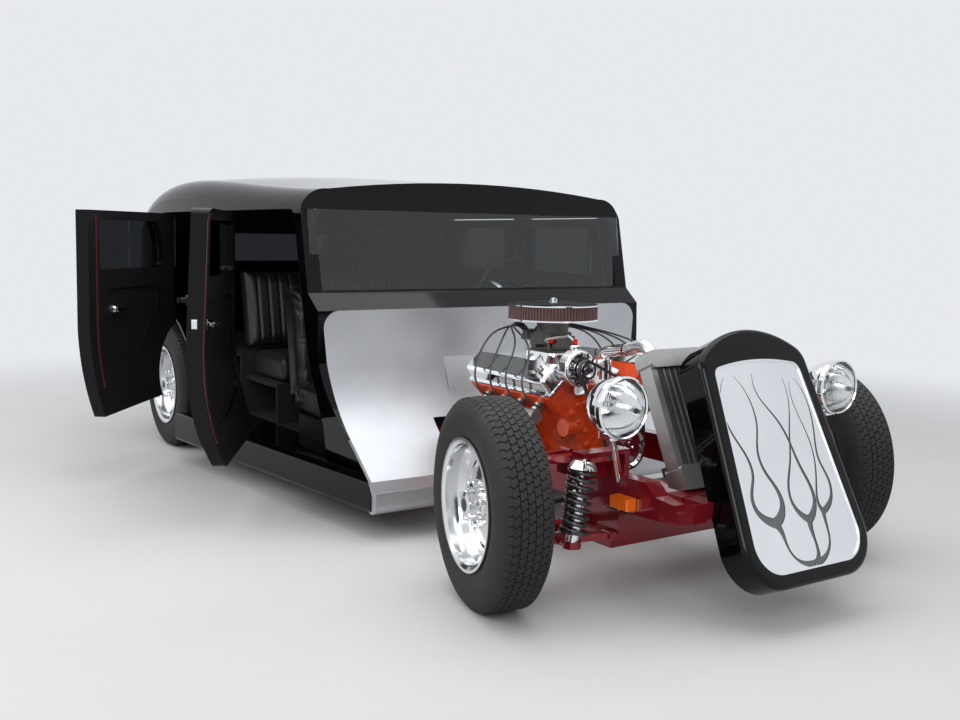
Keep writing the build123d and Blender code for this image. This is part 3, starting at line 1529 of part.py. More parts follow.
# Rear axle, its links and dampers, and the fuel tank
with BuildPart() as rear_axle:
    axle_reach = rear_track / 2 - 34
    with Locations((-wheelbase, 0, up(axle_height))):
        Cylinder(40, 2 * axle_reach, rotation=(90, 0, 0))
        Sphere(135)
    with Locations((-wheelbase + 110, 0, up(axle_height))):
        Cylinder(70, 90, rotation=(0, 90, 0))
    for side in (1, -1):
        with Locations((-wheelbase, side * (axle_reach + 15), up(axle_height))):
            Cylinder(spindle_radius, 42, rotation=(90, 0, 0))
        with Locations((-wheelbase, side * (axle_reach - 5), up(axle_height))):
            Cylinder(110, 10, rotation=(90, 0, 0))
    add(transmission.part, mode=Mode.SUBTRACT)
save(rear_axle, "rear_axle")

with BuildPart() as rear_suspension:
    for side in (1, -1):
        add(bar((-wheelbase + 10, side * 430, up(320)), (-2560, side * (rail_y + 46.3), up(180)), 16))
        add(bar((-wheelbase - 30, side * 440, up(320)), (-wheelbase - 90, side * 420, up(545)), 36))
    add(rear_axle.part, mode=Mode.SUBTRACT)
    add(block((-3400, -2900), everywhere, (up(shelf_top - floor_thickness), up(700))), mode=Mode.SUBTRACT)
save(rear_suspension, "rear_suspension")

with BuildPart() as fuel_tank:
    with Locations((-3560, 0, up(430))):
        Box(300, 560, 200)
    fillet(fuel_tank.edges().filter_by(Axis.Y), radius=30)
save(fuel_tank, "fuel_tank")

# Rear window, a flat pane leaning with the back panel, and the tail lamps
rear_glass_head = (-3590, up(1200))
rear_glass_foot = (-3735, up(980))
with BuildPart() as rear_window:
    with BuildSketch(side_plane()):
        with BuildLine():
            Polyline(
                rear_glass_head,
                (rear_glass_head[0] - 5, rear_glass_head[1]),
                (rear_glass_foot[0] - 5, rear_glass_foot[1]),
                rear_glass_foot,
                close=True,
            )
        make_face()
    extrude(amount=600, both=True)
    add(rear_glass_form.part, mode=Mode.INTERSECT)
save(rear_window, "rear_window")

lamp_radius = 52
lamp_dome = lamp_radius - 8
lamp_rise = 14
lamp_base_x = -3900
lamp_ball = (lamp_dome**2 + lamp_rise**2) / (2 * lamp_rise)
with BuildPart() as tail_lamps:
    for side in (1, -1):
        with BuildSketch(Plane(origin=(0, side * 500, up(620)), x_dir=(1, 0, 0), z_dir=(0, -1, 0))):
            with BuildLine():
                Polyline(
                    (lamp_base_x - 28, 0), (lamp_base_x, 0), (lamp_base_x, lamp_radius),
                    (lamp_base_x - 14, lamp_radius), (lamp_base_x - 14, lamp_dome),
                )
                ThreePointArc(
                    (lamp_base_x - 14, lamp_dome),
                    (lamp_base_x - 28 + lamp_ball - sqrt(lamp_ball**2 - lamp_dome**2 / 4), lamp_dome / 2),
                    (lamp_base_x - 28, 0),
                )
            make_face()
        revolve(axis=Axis((lamp_base_x, side * 500, up(620)), (1, 0, 0)))
save(tail_lamps, "tail_lamps")

# Cabin: seats, dashboard and steering wheel
seat_width = 440
seat_y = 370
seat_lean = -8
seat_base = 84


def cushion(middle, size, lean, softness):
    """Upholstered block with rounded edges."""
    with BuildPart() as pad:
        with Locations(Location(middle, (0, lean, 0))):
            Box(*size)
        fillet(pad.edges(), radius=softness)
    return pad.part


with BuildPart() as front_seat:
    for side in (1, -1):
        add(cushion((-1785, side * seat_y, up(390)), (450, seat_width, 150), 3, 34))
        add(cushion((-2040, side * seat_y, up(650)), (130, seat_width, 570), seat_lean, 40))
        with Locations((-1800, side * seat_y, up(floor_top) + soft_gap + seat_base / 2)):
            Box(360, 380, seat_base)
save(front_seat, "front_seat")

with BuildPart() as rear_seat:
    with Locations((-2375, 0, up(seat_base_top) + soft_gap + 67)):
        Box(420, 1140, 134)
    with BuildSketch(side_plane()):
        with BuildLine():
            Polyline((-2605, up(shelf_top) + soft_gap), (-2700, up(shelf_top) + soft_gap), (-2775, up(990)),
                     (-2690, up(990)), close=True)
        make_face()
    extrude(amount=570, both=True)
save(rear_seat, "rear_seat")

# Dashboard: padded top roll, upright face with recessed round instruments and a glove box lid
gauge_table = [(400, 58), (275, 34), (525, 34), (-90, 30), (0, 30), (90, 30)]
dash_face_x = -1360
with BuildPart() as dashboard:
    with BuildSketch(side_plane()):
        with BuildLine():
            Line((-1200, up(790)), (-1200, up(866)))
            Line((-1200, up(866)), (-1290, up(930)))
            ThreePointArc((-1290, up(930)), (-1345, up(928)), (dash_face_x, up(900)))
            Line((dash_face_x, up(900)), (dash_face_x, up(800)))
            Line((dash_face_x, up(800)), (-1200, up(790)))
        make_face()
    extrude(amount=745, both=True)
    with BuildSketch(cross_plane(dash_face_x)):
        for y, radius in gauge_table:
            with Locations((y, up(852))):
                Circle(min(radius, 42))
    extrude(amount=14, mode=Mode.SUBTRACT)
    with BuildSketch(cross_plane(dash_face_x)):
        with Locations((-400, up(850))):
            RectangleRounded(360, 80, 12)
            RectangleRounded(354, 74, 10, mode=Mode.SUBTRACT)
    extrude(amount=4, mode=Mode.SUBTRACT)
    add(cowl.part, mode=Mode.SUBTRACT)
save(dashboard, "dashboard")

with BuildPart() as steering_wheel:
    column_end = Vector(-1620, 400, up(900))
    column_foot = Vector(-1330, 400, up(823))
    column_axis = (column_end - column_foot).normalized()
    add(bar(tuple(column_foot), tuple(column_end), 18))
    wheel_rim = Plane(origin=column_end, x_dir=(0, 1, 0), z_dir=column_axis)
    with Locations(wheel_rim):
        Torus(172, 13)
        for spoke in (90, 210, 330):
            with Locations(Location((0, 0, -6), (0, 0, spoke))):
                with Locations((86, 0, 0)):
                    Box(172, 26, 5)
    with BuildSketch(wheel_rim.offset(-22)):
        Circle(42)
    extrude(amount=34, taper=12)
    add(dashboard.part, mode=Mode.SUBTRACT)
save(steering_wheel, "steering_wheel")
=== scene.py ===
# %% [markdown]
# # A hot rod with an open V8
# This lesson dresses a chopped four-door hot rod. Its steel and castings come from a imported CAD
# model, which stays where it is. Here it gets its paint, polish, rubber and leather, and the small
# things that a car has by the hundred: tread blocks, radiator fins, filter pleats and bolts.
# Everything is in metres, with +X forward, +Y to the car's left and +Z up.

# %% Load the frame
import json
from math import atan2, cos, degrees, pi, radians, sin, sqrt

import bmesh
import bpy
import numpy as np
from mathutils import Matrix, Vector
from mathutils.bvhtree import BVHTree


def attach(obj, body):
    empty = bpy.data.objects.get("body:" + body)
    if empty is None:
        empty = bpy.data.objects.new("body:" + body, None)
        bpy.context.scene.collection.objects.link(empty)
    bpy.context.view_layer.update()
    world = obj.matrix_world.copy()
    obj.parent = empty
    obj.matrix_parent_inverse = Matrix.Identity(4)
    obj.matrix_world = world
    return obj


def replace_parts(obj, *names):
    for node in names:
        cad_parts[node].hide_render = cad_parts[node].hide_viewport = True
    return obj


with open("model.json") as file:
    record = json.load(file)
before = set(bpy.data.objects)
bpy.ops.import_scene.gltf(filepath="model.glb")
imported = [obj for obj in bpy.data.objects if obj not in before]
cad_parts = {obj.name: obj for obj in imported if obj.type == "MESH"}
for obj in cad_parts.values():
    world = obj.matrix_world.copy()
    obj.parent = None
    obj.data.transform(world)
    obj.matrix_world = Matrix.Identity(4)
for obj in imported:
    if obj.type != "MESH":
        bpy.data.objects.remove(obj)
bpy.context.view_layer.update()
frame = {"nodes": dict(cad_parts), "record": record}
nodes = frame["nodes"]
scene = bpy.context.scene

# %% [markdown]
# ## The photographer's place
# The camera stands where the photographer stood, at chest height off the right front corner.
# A camera looks along its own -Z, so its axes are built from the direction it looks in. Working
# them out from three plain angles keeps the view easy to read and to change.

# %% Camera
FLOOR = -0.150
AHEAD, UP = Vector((1, 0, 0)), Vector((0, 0, 1))
EYE = Vector((2.714, -2.620, 1.018))
YAW, PITCH, ROLL = radians(33.49), radians(6.555), radians(0.873)
LENS, SENSOR = 40.09, 36.0


def shown(name, data, matrix=Matrix.Identity(4)):
    """New object in the scene."""
    item = bpy.data.objects.new(name, data)
    item.matrix_world = matrix
    scene.collection.objects.link(item)
    return item


look = Vector((-cos(YAW) * cos(PITCH), sin(YAW) * cos(PITCH), -sin(PITCH)))
level_right = look.cross(UP).normalized()
level_up = level_right.cross(look)
right = cos(ROLL) * level_right + sin(ROLL) * level_up
above = -sin(ROLL) * level_right + cos(ROLL) * level_up

axes = Matrix((right, above, -look)).transposed().to_4x4()
camera = shown("camera", bpy.data.cameras.new("camera"), Matrix.Translation(EYE) @ axes)
camera.data.lens = LENS
camera.data.sensor_width = SENSOR
camera.data.sensor_fit = "HORIZONTAL"
camera.data.clip_start = 0.05
scene.camera = camera
scene.view_settings.view_transform = "Standard"
print("camera at", [round(value, 2) for value in EYE], "lens", LENS, "mm")

# %% [markdown]
# ## Helpers for node trees
# Finishes and repeated shapes are both node trees. One function adds a node and gives it what it
# needs, and another starts an empty tree, so each tree below reads like a recipe.

# %% Node helpers
SOCKETS = {float: "Float", int: "Int", tuple: "Vector"}


def fill(node, *inputs, **values):
    """Give a node its inputs in order, and its attributes and other inputs by name.

    A value that is a socket is linked, None leaves an input as it is, and the rest is set.
    """
    for key in [key for key in values if hasattr(node, key)]:
        setattr(node, key, values.pop(key))
    named = [(node.inputs[key.replace("_", " ")], value) for key, value in values.items()]
    for socket, value in [*zip(node.inputs, inputs), *named]:
        if isinstance(value, bpy.types.NodeSocket):
            node.id_data.links.new(value, socket)
        elif value is not None:
            socket.default_value = value
    return node


def place(tree, kind, *inputs, **values):
    """Add a node and fill it."""
    return fill(tree.nodes.new(kind), *inputs, **values)


def calc(tree, operation, *values):
    """Math node whose inputs are sockets or numbers."""
    return place(tree, "ShaderNodeMath", *values, operation=operation).outputs[0]


def joined_vector(tree, *values):
    """Vector from three sockets or numbers."""
    return place(tree, "ShaderNodeCombineXYZ", *values).outputs["Vector"]


def new_tree(name, inputs, masks=()):
    """Shader group that puts out masks, or without masks a Geometry Nodes tree.

    Each input has its default, or the name of its type where it can't have one.
    """
    tree = bpy.data.node_groups.new(name, "ShaderNodeTree" if masks else "GeometryNodeTree")
    sort = "NodeSocketFloat" if masks else "NodeSocketGeometry"
    for label in masks or ["Geometry"]:
        tree.interface.new_socket(label, in_out="OUTPUT", socket_type=sort)
    for label, default in inputs.items():
        kind = SOCKETS.get(type(default), default)
        socket = tree.interface.new_socket(label, in_out="INPUT", socket_type="NodeSocket" + kind)
        if kind != default:
            socket.default_value = default
    return tree, tree.nodes.new("NodeGroupInput").outputs, tree.nodes.new("NodeGroupOutput")


print("node helpers are ready")

# %% [markdown]
# ## Light for black paint and chrome
# Black gloss and chrome show the room more than their own colour. Big soft lamps give them long
# clean highlights, and a pale world fills the shadows evenly.

# %% Lamps and world
CAR_MIDDLE = (-1.6, 0, 0.5)
BACKDROP = (0.80, 0.82, 0.85, 1)


def soft_lamp(name, spot, target, size, watts):
    """Rectangular area lamp that faces a point on the car."""
    lamp = bpy.data.lights.new(name, "AREA")
    lamp.shape, lamp.energy = "RECTANGLE", watts
    lamp.size, lamp.size_y = size
    aim = (Vector(target) - Vector(spot)).to_track_quat("-Z", "Y")
    shown(name, lamp, Matrix.Translation(spot) @ aim.to_matrix().to_4x4())


def seen_directly(tree):
    """1 on camera, mirror and glass rays, and 0 on the rays that carry light to the car."""
    path = tree.nodes.new("ShaderNodeLightPath").outputs
    seen = calc(tree, "MAXIMUM", path["Is Camera Ray"], path["Is Glossy Ray"])
    return calc(tree, "MAXIMUM", seen, path["Is Transmission Ray"])


soft_lamp("lamp_over", (-1.2, -0.5, 5.2), CAR_MIDDLE, (9.0, 6.0), 300)
soft_lamp("lamp_front", (4.2, -3.4, 3.2), (0, 0, 0.4), (3.5, 2.5), 118)
soft_lamp("lamp_side", (-2.5, -5.2, 2.8), (-1.5, -0.5, 0.4), (5.0, 2.0), 112)

world = bpy.data.worlds.new("studio")
world.use_nodes = True
scene.world = world
sky = world.node_tree
sky.nodes.clear()
sky_light = place(sky, "ShaderNodeBackground", Color=(0.80, 0.83, 0.87, 1), Strength=0.62)
sky_seen = place(sky, "ShaderNodeBackground", Color=BACKDROP, Strength=1.0)
sky_mix = place(sky, "ShaderNodeMixShader", seen_directly(sky), sky_light.outputs[0], sky_seen.outputs[0])
place(sky, "ShaderNodeOutputWorld", Surface=sky_mix.outputs[0])
print("three soft lamps and a pale world")

# %% [markdown]
# ## Shared effects
# Cloudiness, brushing and settled dust turn up on many parts of a car. Each is a node group with
# its own inputs, built once, so that every finish can set its own scale. Groups only put out
# masks, heights and values. The shader itself stays in each material.

# %% Effect groups


def object_position(tree):
    """Position on the object, in metres."""
    return tree.nodes.new("ShaderNodeTexCoord").outputs["Object"]


def noise(tree, vector=None, **values):
    """Noise on the object, or at another vector."""
    texture = place(tree, "ShaderNodeTexNoise", Vector=vector or object_position(tree), **values)
    return texture.outputs["Fac"]


clouds, taken, given = new_tree("clouds", {"Scale": 6.0, "Fine Scale": 60.0}, ["Mask", "Grain"])
fill(given, Mask=noise(clouds, Scale=taken["Scale"], Detail=4.0, Roughness=0.6),
     Grain=noise(clouds, Scale=taken["Fine Scale"], Detail=2.0))

# Drift is slow patches of colour, partly random tone and, on brushed sheets, partly painted sheen.
brushing, taken, given = new_tree("brushing", {"Across": 900.0, "Along": 6.0}, ["Strokes", "Drift"])
split = place(brushing, "ShaderNodeSeparateXYZ", object_position(brushing)).outputs
stretched = joined_vector(brushing, *(calc(brushing, "MULTIPLY", split[axis], taken[label])
                                      for axis, label in (("X", "Across"), ("Y", "Across"), ("Z", "Along"))))
fill(given, Strokes=noise(brushing, stretched, Scale=1.0, Detail=3.0),
     Drift=noise(brushing, Scale=2.3, Detail=3.0, Distortion=0.4))

dust, taken, given = new_tree("dust", {"Amount": 0.3, "Scale": 9.0}, ["Mask"])
facing = dust.nodes.new("ShaderNodeNewGeometry").outputs["Normal"]
flat = calc(dust, "MAXIMUM", place(dust, "ShaderNodeSeparateXYZ", facing).outputs["Z"], 0.15)
settled = calc(dust, "MULTIPLY", flat, noise(dust, Scale=taken["Scale"], Detail=6.0, Roughness=0.7))
fill(given, Mask=calc(dust, "MULTIPLY", settled, taken["Amount"]))


def effect(tree, group, **values):
    """Outputs of one of the effect groups, placed with its own values."""
    return place(tree, "ShaderNodeGroup", node_tree=group, **values).outputs


def tint(tree, mask, low, high):
    """Two colours, each three numbers or a socket, mixed by a mask."""
    low, high = (one if isinstance(one, bpy.types.NodeSocket) else (*one, 1) for one in (low, high))
    return place(tree, "ShaderNodeMix", data_type="RGBA", Factor=mask, A=low, B=high).outputs["Result"]


def span(tree, source, low, high):
    """Map a 0 to 1 value to a range."""
    return place(tree, "ShaderNodeMapRange", Value=source, To_Min=low, To_Max=high).outputs["Result"]


print("effect groups:", [group.name for group in bpy.data.node_groups])

# %% [markdown]
# ## Paint, metal, rubber
# Most finishes here are the same recipe with other numbers: a base colour that drifts between two
# close shades, a roughness that drifts with it, and a fine bump. One function holds the recipe,
# and one call for each finish holds the numbers.

# %% One recipe for many finishes
DUST = (0.36, 0.34, 0.31)


def new_finish(name, **sockets):
    """New material with one Principled shader, whose constants are set by socket name."""
    material = bpy.data.materials.new(name)
    material.use_nodes = True
    tree = material.node_tree
    return material, tree, fill(tree.nodes["Principled BSDF"], **sockets)


def bump(shader, height, strength, distance):
    """Bump from a height socket into the shader's normal."""
    node = place(shader.id_data, "ShaderNodeBump", Strength=strength, Distance=distance, Height=height)
    fill(shader, Normal=node.outputs["Normal"])


def drifting(name, low, high, rough, scale=6.0, fine=120.0, grain=0.03, depth=0.0005, dusty=0.0, **sockets):
    """Finish whose colour and roughness drift between two values, with a fine grain."""
    material, tree, shader = new_finish(name, **sockets)
    cloud = effect(tree, clouds, Scale=scale, Fine_Scale=fine)
    colour = tint(tree, cloud["Mask"], low, high)
    if dusty:
        colour = tint(tree, effect(tree, dust, Amount=dusty)["Mask"], colour, DUST)
    fill(shader, Base_Color=colour, Roughness=span(tree, cloud["Mask"], *rough))
    bump(shader, cloud["Grain"], grain, depth)
    return material


black_gloss = drifting(
    "body black", (0.0006, 0.0006, 0.0010), (0.0014, 0.0014, 0.0020), (0.04, 0.09), scale=2.0, fine=700.0,
    grain=0.012, dusty=0.006, Coat_Weight=0.10, Coat_Roughness=0.03, Specular_IOR_Level=0.17)
frame_red = drifting(
    "frame red", (0.16, 0.004, 0.010), (0.24, 0.008, 0.016), (0.14, 0.24), dusty=0.05, Coat_Weight=0.45,
    Coat_Roughness=0.05, Specular_IOR_Level=0.3, Metallic=0.35)
engine_orange = drifting(
    "engine orange", (0.50, 0.040, 0.008), (0.68, 0.075, 0.012), (0.20, 0.36), scale=14.0, fine=200.0,
    grain=0.35, depth=0.0008, dusty=0.04, Coat_Weight=0.22, Coat_Roughness=0.12, Specular_IOR_Level=0.35)
chrome = drifting(
    "chrome", (0.80, 0.81, 0.83), (0.88, 0.89, 0.90), (0.04, 0.10), fine=300.0, grain=0.01, Metallic=1.0)
polished = drifting(
    "polished alloy", (0.70, 0.71, 0.72), (0.82, 0.82, 0.83), (0.10, 0.20), scale=12.0, fine=420.0,
    grain=0.04, dusty=0.04, Metallic=1.0)
cast_alloy = drifting(
    "cast alloy", (0.42, 0.42, 0.41), (0.58, 0.58, 0.57), (0.34, 0.50), scale=20.0, fine=650.0,
    grain=0.35, dusty=0.10, Metallic=1.0)
satin_black = drifting(
    "satin black", (0.010, 0.010, 0.011), (0.020, 0.020, 0.021), (0.34, 0.50), fine=350.0, grain=0.15,
    dusty=0.12)
hose_black = drifting(
    "hose rubber", (0.012, 0.012, 0.012), (0.024, 0.024, 0.024), (0.45, 0.62), fine=500.0, grain=0.2,
    dusty=0.10)
trim_black = drifting(
    "cabin trim", (0.008, 0.008, 0.009), (0.016, 0.016, 0.017), (0.50, 0.70), fine=900.0, grain=0.5,
    dusty=0.05)
tyre_black = drifting(
    "tyre rubber", (0.008, 0.008, 0.009), (0.018, 0.018, 0.019), (0.60, 0.82), scale=9.0, fine=420.0,
    grain=0.25, dusty=0.14, Specular_IOR_Level=0.30)
hide = drifting(
    "seat hide", (0.010, 0.010, 0.011), (0.022, 0.021, 0.021), (0.32, 0.48), scale=5.0, fine=260.0,
    grain=0.5, depth=0.001, Coat_Weight=0.15, Coat_Roughness=0.4)
amber = drifting(
    "amber lens", (0.70, 0.10, 0.004), (0.82, 0.16, 0.008), (0.12, 0.2), fine=200.0, grain=0.3,
    Coat_Weight=0.7)
red_lens = drifting(
    "red lens", (0.35, 0.006, 0.006), (0.45, 0.010, 0.010), (0.10, 0.16), fine=200.0, grain=0.3,
    Coat_Weight=0.8)
piping_red = drifting(
    "piping red", (0.024, 0.0015, 0.002), (0.045, 0.003, 0.0035), (0.4, 0.55), grain=0.2)
dull_zinc = drifting(
    "dull zinc", (0.050, 0.048, 0.044), (0.13, 0.125, 0.115), (0.28, 0.44), scale=26.0, fine=500.0,
    grain=0.3, dusty=0.10, Metallic=1.0)
print("finishes so far:", len(bpy.data.materials))

# %% [markdown]
# ## Brushed steel and glass
# The firewall is a bare sheet, brushed top to bottom, with slow cloudy patches in its colour. The
# patches are partly random tone and partly painted sheen, light painted where it would catch the
# sheet. Brush marks are noise squeezed across the sheet and stretched along it. Window glass is a
# thin clear pane, so it keeps a plain transmission and only its tint is set.

# %% Brushed sheet and glass


def brushed(name, dark, light, rough, across=900.0, along=6.0):
    """Bare brushed sheet metal, its colour holding brush marks and slow patches that are partly random tone
    and partly painted sheen.
    """
    material, tree, shader = new_finish(name, Metallic=1.0)
    marks = effect(tree, brushing, Across=across, Along=along)
    # Brush marks on top of the slow patches, whose light parts are partly painted sheen.
    brush_tone_and_sheen = calc(tree, "MULTIPLY_ADD", marks["Strokes"], 0.35, marks["Drift"])
    fill(shader, Base_Color=tint(tree, brush_tone_and_sheen, dark, light), Roughness=span(tree, marks["Strokes"], *rough))
    bump(shader, marks["Strokes"], 0.08, 0.0004)
    return material


def clear(name, colour):
    """Clear glass of one tint, with faint smears."""
    material, tree, shader = new_finish(name, Transmission_Weight=1.0, IOR=1.45, Roughness=0.02)
    smears = effect(tree, clouds, Scale=5.0, Fine_Scale=60.0)
    fill(shader, Base_Color=tint(tree, smears["Mask"], colour, [min(1, part * 1.04) for part in colour]))
    return material


# The wide spread from dark to light paints the sheen of the firewall's patches into its colour.
brushed_steel = brushed("brushed sheet", (0.30, 0.31, 0.33), (0.62, 0.63, 0.65), (0.36, 0.52))
window_glass = clear("window glass", (0.66, 0.69, 0.69))
print("brushed sheet and window glass")

# %% [markdown]
# ## More finishes
# The grille's flames are a darker brushed grey inside a thin black line. The filter paper is a
# dusty maroon, and spark plug leads are a smooth dark rubber. Rear glass on such cars is tinted.

# %% Finishes for the small things
flame_grey = brushed("flame grey", (0.075, 0.075, 0.080), (0.19, 0.19, 0.20), (0.30, 0.46))
grille_silver = brushed("grille silver", (0.66, 0.67, 0.69), (0.86, 0.87, 0.89), (0.30, 0.44), 500.0, 8.0)
pinstripe = drifting(
    "pinstripe black", (0.006, 0.006, 0.007), (0.012, 0.012, 0.013), (0.25, 0.35), grain=0.02)
filter_paper = drifting(
    "filter paper", (0.070, 0.034, 0.032), (0.150, 0.085, 0.078), (0.65, 0.85), scale=30.0, fine=900.0,
    grain=0.5, dusty=0.20)
lead_rubber = drifting(
    "lead rubber", (0.014, 0.015, 0.018), (0.030, 0.031, 0.036), (0.22, 0.34), grain=0.05)
coil_black = drifting(
    "coil black", (0.008, 0.008, 0.009), (0.016, 0.016, 0.017), (0.14, 0.24), grain=0.05, dusty=0.08,
    Coat_Weight=0.5)
fitting_red = drifting(
    "fitting red", (0.42, 0.012, 0.010), (0.55, 0.022, 0.016), (0.16, 0.28), Metallic=0.8)
pipe_steel = drifting(
    "pipe steel", (0.34, 0.33, 0.31), (0.52, 0.50, 0.47), (0.26, 0.46), scale=9.0, dusty=0.15, Metallic=1.0)
dial_face = drifting("dial face", (0.72, 0.71, 0.67), (0.80, 0.79, 0.75), (0.4, 0.5), grain=0.02)
carpet = drifting(
    "carpet", (0.008, 0.008, 0.009), (0.022, 0.022, 0.024), (0.85, 0.98), scale=40.0, fine=1400.0,
    grain=0.9, depth=0.002)
vinyl = drifting(
    "door vinyl", (0.007, 0.007, 0.008), (0.013, 0.013, 0.014), (0.36, 0.50), scale=4.0, fine=650.0,
    grain=0.4)
reflector = drifting(
    "reflector", (0.93, 0.93, 0.94), (0.97, 0.97, 0.98), (0.05, 0.10), fine=60.0, grain=0.02, Metallic=1.0)
core_black = drifting(
    "core black", (0.010, 0.010, 0.011), (0.030, 0.030, 0.032), (0.35, 0.55), dusty=0.3, Metallic=0.4)
fin_grey = drifting(
    "fin grey", (0.10, 0.10, 0.105), (0.20, 0.20, 0.205), (0.35, 0.55), dusty=0.2, Metallic=0.8)
tinted_glass = clear("tinted glass", (0.022, 0.024, 0.026))
print("finishes now:", len(bpy.data.materials))

# %% [markdown]
# ## Where things are on the car
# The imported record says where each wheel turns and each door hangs. Reading those places from it
# keeps every added piece on its own hub or hinge, without measuring anything twice.

# %% Places on the car
behaviour = frame["record"]["behaviour"]
joints = {joint["name"]: joint for joint in behaviour["joints"]}
body_with = {node: body for body, held in behaviour["bodies"].items() for node in held}
SIDES = ((1, "left"), (-1, "right"))
CORNERS = ("front_left", "front_right", "rear_left", "rear_right")


def above_floor(height):
    """z of a point this many metres above the floor."""
    return FLOOR + height


def axes_at(spot, along, up=UP):
    """Matrix that puts local X along a direction and local Z as near up as it can be."""
    first = Vector(along).normalized()
    second = Vector(up).cross(first).normalized()
    turn = Matrix((first, second, first.cross(second))).transposed().to_4x4()
    return Matrix.Translation(Vector(spot)) @ turn


ENGINE_X, CRANK = -0.622, above_floor(0.400)
FILTER_X, FILTER_Z = -0.718, above_floor(0.838)
wheel_places = {}
for corner in CORNERS:
    spin = joints[f"wheel_{corner}_spin"]
    outward = Vector(spin["axis"]) * (1 if "left" in corner else -1)
    wheel_places[corner] = axes_at(spin["pos_m"], outward)
    print("wheel", corner, "at", [round(value, 3) for value in wheel_places[corner].translation])

# %% [markdown]
# ## New pieces and copies of CAD pieces
# A CAD mesh is loose triangles and takes one finish. Where a real piece has several, such as a
# filter between two chrome plates, a welded copy stands for it. Each face of the copy picks its
# finish by where it lies, and the copy keeps the smooth normals of the CAD surface.

# %% Copies with several finishes
WELD = 2e-5


def plain(shape, name):
    """Plain mesh of a bmesh, which is then let go."""
    mesh = bpy.data.meshes.new(name)
    shape.to_mesh(mesh)
    shape.free()
    return mesh


def finished(name, mesh, material, body="chassis", angle=32):
    """New piece of one finish that rides on a body; edges sharper than the angle stay sharp."""
    mesh.materials.clear()
    mesh.materials.append(material)
    mesh.shade_smooth()
    mesh.set_sharp_from_angle(angle=radians(angle))
    piece = shown(name, mesh)
    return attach(piece, body)


def recast(node, materials, choose, line=None):
    """Welded copy of a CAD piece; choose turns a face's middle and normal into a finish number.

    A face with a negative number is left out. The CAD piece's own normals are kept, because they
    are smoother than any that loose triangles could give. line = (inside, edge, width) gives the
    rim of each patch of one finish another finish.
    """
    source = nodes[node].data
    shape = bmesh.new()
    shape.from_mesh(source)
    kept = shape.loops.layers.float_vector.new("kept_normal")
    corners = iter(source.corner_normals)
    for face in shape.faces:
        for loop in face.loops:
            loop[kept] = next(corners).vector
    bmesh.ops.remove_doubles(shape, verts=shape.verts, dist=WELD)
    shape.normal_update()
    dropped = []
    for face in shape.faces:
        number = choose(face.calc_center_median(), face.normal)
        if number < 0:
            dropped.append(face)
        face.material_index = max(number, 0)
    bmesh.ops.delete(shape, geom=dropped, context="FACES")
    if line:
        inside, edge, width = line
        patch = [face for face in shape.faces if face.material_index == inside]
        rim = bmesh.ops.inset_region(shape, faces=patch, thickness=width, use_even_offset=True)
        for face in rim["faces"]:
            face.material_index = edge
    mesh = plain(shape, node + "_dressed")
    mesh.shade_smooth()
    normals = np.zeros(len(mesh.loops) * 3, np.float32)
    mesh.attributes["kept_normal"].data.foreach_get("vector", normals)
    mesh.attributes.remove(mesh.attributes["kept_normal"])
    mesh.normals_split_custom_set(normals.reshape(-1, 3))
    for material in materials:
        mesh.materials.append(material)
    piece = shown(node + "_dressed", mesh)
    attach(piece, body_with[node])
    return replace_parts(piece, node)


print("helpers for pieces are ready")

# %% [markdown]
# ## Things that repeat
# A car has rings and rows of the same small thing: tread blocks, pleats, nuts, fins and bolts. One
# Geometry Nodes tree sets a piece round an axle and another sets it in a row. Both take the piece
# and its finish as inputs. The result is turned into a plain mesh, because only real faces leave
# Blender with the model.

# %% Two trees for rings and rows


def made_real(tree, taken, given, geometry):
    """End of every tree: real faces with their finish."""
    real = place(tree, "GeometryNodeRealizeInstances", geometry).outputs[0]
    coat = place(tree, "GeometryNodeSetMaterial", Geometry=real, Material=taken["Finish"])
    fill(given, Geometry=coat.outputs["Geometry"])


def copies_on(tree, taken, points, rotation=None):
    """The piece on each point."""
    piece = place(tree, "GeometryNodeObjectInfo", Object=taken["Piece"]).outputs["Geometry"]
    return place(tree, "GeometryNodeInstanceOnPoints", Points=points, Instance=piece,
                 Rotation=rotation).outputs["Instances"]


COMMON = {"Count": 8, "Piece": "Object", "Finish": "Material"}
ring_tree, taken, given = new_tree("ring of pieces", {**COMMON, "Radius": 0.1, "Along": 0.0, "Start": 0.0})
which = ring_tree.nodes.new("GeometryNodeInputIndex").outputs[0]
share = calc(ring_tree, "DIVIDE", which, taken["Count"])
turn = calc(ring_tree, "ADD", calc(ring_tree, "MULTIPLY", share, 2 * pi), taken["Start"])
off_axle = (calc(ring_tree, "MULTIPLY", taken["Radius"], calc(ring_tree, wave, turn))
            for wave in ("SINE", "COSINE"))
points = place(ring_tree, "GeometryNodePoints", Count=taken["Count"],
               Position=joined_vector(ring_tree, taken["Along"], *off_axle)).outputs[0]
facing = joined_vector(ring_tree, calc(ring_tree, "MULTIPLY", turn, -1.0), 0, 0)
made_real(ring_tree, taken, given, copies_on(ring_tree, taken, points, facing))

row_tree, taken, given = new_tree("row of pieces", {**COMMON, "Start": (0, 0, 0), "Step": (0.01, 0, 0)})
which = row_tree.nodes.new("GeometryNodeInputIndex").outputs[0]
stride = place(row_tree, "ShaderNodeVectorMath", taken["Step"], operation="SCALE", Scale=which).outputs[0]
reach = place(row_tree, "ShaderNodeVectorMath", stride, taken["Start"]).outputs[0]
points = place(row_tree, "GeometryNodePoints", Count=taken["Count"], Position=reach).outputs[0]
made_real(row_tree, taken, given, copies_on(row_tree, taken, points))


def applied(piece):
    """Mesh of a piece with its modifiers applied."""
    return bpy.data.meshes.new_from_object(piece.evaluated_get(bpy.context.evaluated_depsgraph_get()))


